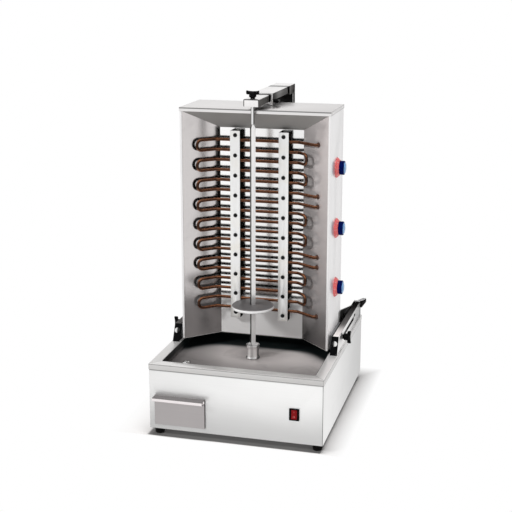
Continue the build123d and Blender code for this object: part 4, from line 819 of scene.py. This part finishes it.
# wing knobs: a ribbed drum on a short stem, with a flat wing to each side and a steel screw where one shows
wingShape = {"drumSteps": 36, "ribs": 8, "rounding": 1.2 / 7, "segments": 3}
railWing = {"span": 33, "wing": 10, "thick": 7, "stem": 6.0, "drum": 9.0, "height": 22.0, "screw": 4.0}
wingKnobs = {
    "topPinWing": {**railWing, "node": "top_pin_knob", "body": "locking_pin", "height": 20.0, "outward": "up",
                   "screw": 0.0},
    "leftRailWing": {**railWing, "node": "left_rail_knob", "body": "left_wing_screw", "outward": "left"},
    "rightRailWing": {**railWing, "node": "right_rail_knob", "body": "right_wing_screw", "outward": "right"},
    "armLockWing": {"node": "arm_lock_knob", "body": "arm_wing_screw", "span": 20, "wing": 7, "thick": 5, "stem": 3.2,
                    "drum": 5.0, "height": 17.0, "outward": "armSide", "screw": 2.5},
}
toRight = spun(math.pi / 2, "Y")
wingTurns = {
    "up": Matrix.Identity(4), "left": spun(-math.pi / 2, "Y"), "right": toRight,
    "armSide": Matrix(((0, 0, 1, 0), (1, 0, 0, 0), (0, 1, 0, 0), (0, 0, 0, 1))),
}
for name, plan in wingKnobs.items():
    low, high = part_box(plan["node"])
    middle = (low + high) / 2
    span, wing, thick, stem, drum, height = (plan[key] for key in ("span", "wing", "thick", "stem", "drum", "height"))
    turn = wingTurns[plan["outward"]]
    outward = turn.col[2].xyz
    seat = Matrix.Translation(middle + outward * (abs(outward.dot(high - low)) / 2 - height * mm)) @ turn
    root = height - wing
    mesh = bmesh.new()
    turned(mesh, [(0, 0), (stem * 0.96, 0), (stem, 0.3), (stem, 2.0), (drum * 0.90, 3.6), (drum * 0.97, 4.4), (drum, 5.4),
                  (drum * 0.99, root), (drum * 0.94, root + wing * 0.42), (drum * 0.70, root + wing * 0.60),
                  (0, root + wing * 0.66)], wingShape["drumSteps"], seat)
    for rib in range(wingShape["ribs"]):
        turn = spun(math.tau * (rib + 0.5) / wingShape["ribs"], "Z")
        onDrum = seat @ turn @ moved(drum * 0.95, 0, root * 0.72)
        block(mesh, (drum * 0.16, drum * 0.20, root * 0.52), onDrum, drum * 0.04)
    half = [(x * span, root + z * wing) for x, z in ((0, -0.02), (0.44, 0), (0.49, 0.16), (0.50, 0.60), (0.485, 1),
                                                     (0.44, 0.96), (0.30, 0.86), (0, 0.80))]
    outline = half + [(-x, z) for x, z in reversed(half[1:-1])]
    slab(mesh, outline, thick, seat, wingShape["rounding"] * thick, wingShape["segments"])
    if plan["screw"] > 0.0:
        screw, reach = plan["screw"], (high.x - low.x) / mm - height
        turned(mesh, [(0, -reach), (screw * 0.8, -reach), (screw, 0.8 - reach), (screw, 0)], 20, seat, 1)
    finishPiece(name, mesh, ["blackMoulding", "brightSteel"], plan["body"], (plan["node"],), 40.0)
print("wing knobs made")

# heat knobs: fluted navy grip, pale domed face and a white pointer, on a red cone with marks
gripShape = {"radius": 17.5, "flutes": 36, "fluteDepth": 0.45, "fluteEdge": 0.12, "face": 15.2, "dome": 3.6,
             "length": 15.5, "spindle": 3.0}
radius, flutes, fluteDepth, fluteEdge, faceR, dome, length, spindle = gripShape.values()
shoulder = length - dome
for level in ("upper", "middle", "lower"):
    node = "knob_" + level
    low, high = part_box(node)
    middle = (low + high) / 2
    seat = at(high.x - length * mm, middle.y, middle.z) @ toRight
    inward = (high.x - low.x) / mm - length
    mesh = bmesh.new()
    turned(mesh, [(0, -inward), (spindle, -inward), (spindle, 0), (radius * 0.97, 0), (radius, 0.6), (radius, 1.6),
                  (radius, shoulder - 1.2), (radius * 0.985, shoulder - 0.4), (faceR + 0.5, shoulder + 0.2),
                  (faceR, shoulder - 0.2)], 2 * flutes, seat)
    sideFaces = []
    for face in mesh.faces:
        spot = seat.inverted() @ face.calc_center_median() / mm
        if spot.xy.length > radius * 0.99 and 1.7 < spot.z < shoulder - 1.3:
            sideFaces.append((math.atan2(spot.y, spot.x), face))
    sideFaces.sort(key=lambda pair: pair[0])
    grooves = [face for angle, face in sideFaces[::2]]
    bmesh.ops.inset_individual(mesh, faces=grooves, thickness=fluteEdge * mm, depth=-fluteDepth * mm)
    turned(mesh, [(faceR, shoulder - 0.2), (faceR * 0.96, shoulder + 0.7), (faceR * 0.80, shoulder + 2.0),
                  (faceR * 0.55, length - 0.75), (faceR * 0.28, length - 0.2), (0, length)], 48, seat, 1)
    pointer = seat @ moved(-faceR * 0.72, 0, shoulder + 2.15) @ spun(-0.42, "Y")
    block(mesh, (6.5, 1.5, 0.9), pointer, 0.3, look=2)
    finishPiece(level + "HeatKnob", mesh, ["knobNavy", "knobFaceBlue", "whitePrint"], level + "_heat_knob",
                (node,))

dialShape = {"outer": 26.0, "inner": 19.5, "thick": 8.0, "edge": 1.5, "bore": 4.0, "marks": 7,
             "start": 225.0, "sweep": 270.0, "figure": 5.2}
outer, inner, thick, edge, bore, marks, start, sweep, figure = dialShape.values()
low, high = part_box("knob_dials")
topDialZ = high.z - outer * mm
lowDialZ = low.z + outer * mm
slope = math.atan2(thick - edge, outer - inner)
mesh = bmesh.new()
for step in range(3):
    seat = at(low.x, (low.y + high.y) / 2, topDialZ + (lowDialZ - topDialZ) * step / 2) @ toRight
    turned(mesh, [(bore, 0), (outer - 0.4, 0), (outer, 0.4), (outer, edge - 0.3), (outer - 0.3, edge + 0.2),
                  (inner + 0.3, thick - 0.4), (inner - 0.3, thick), (bore, thick), (bore, 0)], 72, seat)
    for mark in range(marks):
        turn = spun(math.radians(start + sweep * mark / (marks - 1)), "Z")
        onCone = seat @ turn @ moved((outer + inner) / 2, 0, (thick + edge) / 2) @ spun(slope, "Y")
        block(mesh, (1.6, 0.7, 0.25), onCone @ moved(3.4, 0, 0.05), look=1)
        letter(mesh, str(mark), figure, 0.10, onCone @ moved(-0.6, 0, 0.06) @ spun(math.pi / 2, "Z"), 1)
finishPiece("heatDials", mesh, ["dialRed", "whitePrint"], "heater_housing", ("knob_dials",))
print("heat knobs and dials made")

# mains rocker: rounded lens with its two marks
rockerShape = {"tilt": 7.0, "proud": 7.0, "dip": 1.8, "height": 23.0, "pivotIn": 3.0, "rounding": 0.5, "figure": 6.5}
tilt, proud, dip, height, pivotIn, rounding, figure = rockerShape.values()
low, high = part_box("switch_rocker")
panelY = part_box("base_front_panel")[0].y
rockerZ = (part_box("switch_body")[0].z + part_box("switch_body")[1].z) / 2
mesh = softCopy("switch_rocker", rounding, 3, 60.0)
lean = math.atan2(dip, height / 2)
depth = proud - dip * 0.52
pivot = at((low.x + high.x) / 2, panelY + pivotIn * mm, rockerZ) @ spun(-math.radians(tilt), "X")
for words, share in (("I", 1), ("O", -1)):
    seat = pivot @ moved(0, -depth, share * height * 0.26) @ spun(math.pi / 2 + share * lean, "X")
    letter(mesh, words, figure, 0.12, seat, 1)
finishPiece("mainsRocker", mesh, ["rockerLens", "palePrint"], "rocker", ("switch_rocker",), 40.0)
print("rocker made")

# guard screws: black socket heads with their shanks
screwShape = {"head": 5.3, "rise": 2.6, "shank": 2.2, "socket": 2.1, "rows": 10}
headR, rise, shank, socket, rows = screwShape.values()
low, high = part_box("guard_screws")
inset = headR * mm
deep = rise - (high.y - low.y) / mm
mesh = bmesh.new()
for x in (low.x + inset, high.x - inset):
    for row in range(rows):
        z = low.z + inset + (high.z - low.z - 2 * inset) * row / (rows - 1)
        turned(mesh, [(0, rise * 0.45), (socket, rise * 0.45), (socket * 1.06, rise * 0.95), (headR * 0.66, rise),
                      (headR * 0.90, rise * 0.72), (headR, rise * 0.30), (headR, 0), (shank, 0), (shank, deep),
                      (0, deep)], 18, at(x, low.y + rise * mm, z) @ spun(math.pi / 2, "X"))
finishPiece("guardScrews", mesh, ["blackOxide"], "heater_housing", ("guard_screws",))

# heater terminals: a hexagon nut and a rounded gland at each tube end
nutShape = {"radius": 6.4, "nut": 3.0, "collar": 5.0, "bore": 4.05, "tube": 4.0,
            "wallOut": Vector((0.6918, 0.7221, 0.0))}
radius, nut, collar, bore, tube, wallOut = nutShape.values()
low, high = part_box("heater_bushings")
mesh = bmesh.new()
for heater in ("heater_upper", "heater_middle", "heater_lower"):
    tubeLow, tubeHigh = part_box(heater)
    for z in (tubeHigh.z - tube * mm, tubeLow.z + tube * mm):
        seat = seatOn(Vector(((low.x + high.x) / 2, (low.y + high.y) / 2, z)) + wallOut * (collar / 2 * mm), -wallOut)
        turned(mesh, [(bore, 0), (radius, 0), (radius, nut - 0.4), (radius - 0.5, nut), (bore + 0.2, nut),
                      (bore, nut - 0.2), (bore, 0)], 6, seat)
        turned(mesh, [(bore, nut * 0.9), (radius * 0.80, nut * 0.9), (radius * 0.80, collar - 0.8),
                      (radius * 0.72, collar), (bore, collar - 0.1), (bore, nut * 0.9)], 24, seat)
finishPiece("heaterTerminals", mesh, ["terminalNut"], "heater_housing", ("heater_bushings",))
print("guard screws and terminals made")

# feet: rubber with a rounded tread, a groove and a recessed screw
footShape = {"top": 14.0, "bottom": 12.0, "height": 20.0}
top, bottom, height = footShape.values()
low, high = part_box("rubber_feet")
mesh = bmesh.new()
for x in (low.x + top * mm, high.x - top * mm):
    for y in (low.y + top * mm, high.y - top * mm):
        turned(mesh, [(0, 2.2), (4.2, 2.2), (4.6, 0.4), (5.4, 0), (bottom - 2.2, 0), (bottom - 0.6, 0.7), (bottom, 2.2),
                      (bottom + 0.5, 7.0), (bottom - 0.2, 7.8), (bottom - 0.1, 8.8), (bottom + 0.8, 9.6),
                      (top - 0.4, height - 0.6), (top - 0.8, height), (0, height)], 40, at(x, y, 0))
        turned(mesh, [(0, 1.6), (2.4, 1.6), (3.6, 2.3)], 16, at(x, y, 0), 1)
finishPiece("rubberFeet", mesh, ["footRubber", "brightSteel"], "base", ("rubber_feet",))

# bright buttons on the front ends of the rails
buttonShape = {"radius": 8.05, "rise": 4.6, "up": 0.62, "rake": 22.0, "rail": 43.5, "capBack": 3.0}
radius, rise, up, rake, rail, capBack = buttonShape.values()
low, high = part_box("right_rail")
railMid = (low.x + high.x) / 2
mesh = bmesh.new()
for x in (-railMid, railMid):
    seat = seatOn((x, low.y + (up * rake - capBack) * mm, low.z + up * rail * mm), (0, -rail, rake))
    turned(mesh, [(0, rise), (radius * 0.45, rise * 0.92), (radius * 0.78, rise * 0.66), (radius * 0.95, rise * 0.30),
                  (radius, 0), (radius, -0.2)], 32, seat)
finishPiece("railButtons", mesh, ["buttonChrome"], "base", angle=35.0)

# cable gland: hexagon nut, ribbed dome and an open bore
glandShape = {"nut": 12.0, "body": 9.0, "bore": 4.5, "ribs": 20}
nut, bodyR, bore, ribs = glandShape.values()
low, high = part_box("cable_gland")
seat = at((low.x + high.x) / 2, low.y, (low.z + high.z) / 2) @ spun(-math.pi / 2, "X")
inside = (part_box("base_rear_panel")[1].y - low.y) / mm
full = (high.y - low.y) / mm
mesh = bmesh.new()
turned(mesh, [(bore, 0), (bodyR - 0.6, 0), (bodyR, 0.6), (bodyR, inside), (bore, inside), (bore, 0)], 36, seat)
turned(mesh, [(bore, inside), (nut - 0.8, inside), (nut, inside + 0.6), (nut, inside + 7.0), (nut - 0.8, inside + 7.8),
              (bore, inside + 7.8), (bore, inside)], 6, seat)
turned(mesh, [(bore, inside + 7.0), (bodyR, inside + 7.0), (bodyR, full - 5.0), (bodyR - 0.9, full - 1.8),
              (bodyR - 2.4, full), (bore, full), (bore, inside + 7.0)], 2 * ribs, seat)
finishPiece("cableGland", mesh, ["blackMoulding"], "base", ("cable_gland",))
print("feet, buttons and gland made")

# screws that hold the sheets: rear panels, floor, arm and cover
screwSizes = {"panel": (3.6, 1.8), "arm": (4.0, 2.0), "cover": (2.6, 1.3)}
panelScrew, armScrew, coverScrew = screwSizes.values()
mesh = bmesh.new()
low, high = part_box("base_rear_panel")
for x in (low.x + 0.014, 0.0, high.x - 0.014):
    for z in (low.z + 0.012, high.z - 0.024):
        screwHead(mesh, (x, high.y, z), (0, 1, 0), *panelScrew)
low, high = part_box("arm_head")
screwHead(mesh, (0.0, low.y + 0.006, high.z), (0, 0, 1), *armScrew)
low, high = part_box("base_floor")
for x in (low.x + 0.02, 0.0, high.x - 0.02):
    for y in (low.y + 0.06, high.y - 0.06):
        screwHead(mesh, (x, y, low.z), (0, 0, -1), *panelScrew)
finishPiece("baseFasteners", mesh, ["brightSteel", "blackOxide"], "base", angle=35.0)

mesh = bmesh.new()
low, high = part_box("housing_rear_panel")
for x in (low.x + 0.012, 0.0, high.x - 0.012):
    for z in (low.z + 0.014, (low.z + high.z) / 2, high.z - 0.024):
        screwHead(mesh, (x, high.y, z), (0, 1, 0), *panelScrew)
low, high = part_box("top_cover")
for y in (low.y + 0.030, high.y - 0.030):
    for x, out in ((low.x, -1), (high.x, 1)):
        screwHead(mesh, (x, y, low.z + 0.005), (out, 0, 0), *coverScrew)
finishPiece("housingFasteners", mesh, ["brightSteel", "blackOxide"], "heater_housing", angle=35.0)

# weld beads where the post stands on the rim
bead = 2.4
low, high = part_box("arm_post")
middle = (low + high) / 2
wide, deep = (high.x - low.x) / mm + bead, (high.y - low.y) / mm + bead
beyond = bead * 0.2 * mm
mesh = bmesh.new()
for y in (low.y - beyond, high.y + beyond):
    block(mesh, (wide, bead, 2 * bead), at(middle.x, y, rimZ), bead * 0.45, 3)
for x in (low.x - beyond, high.x + beyond):
    block(mesh, (bead, deep, 2 * bead), at(x, middle.y, rimZ), bead * 0.45, 3)
finishPiece("postWeld", mesh, ["hiddenSteel"], "base", angle=35.0)
print("fasteners and welds made")
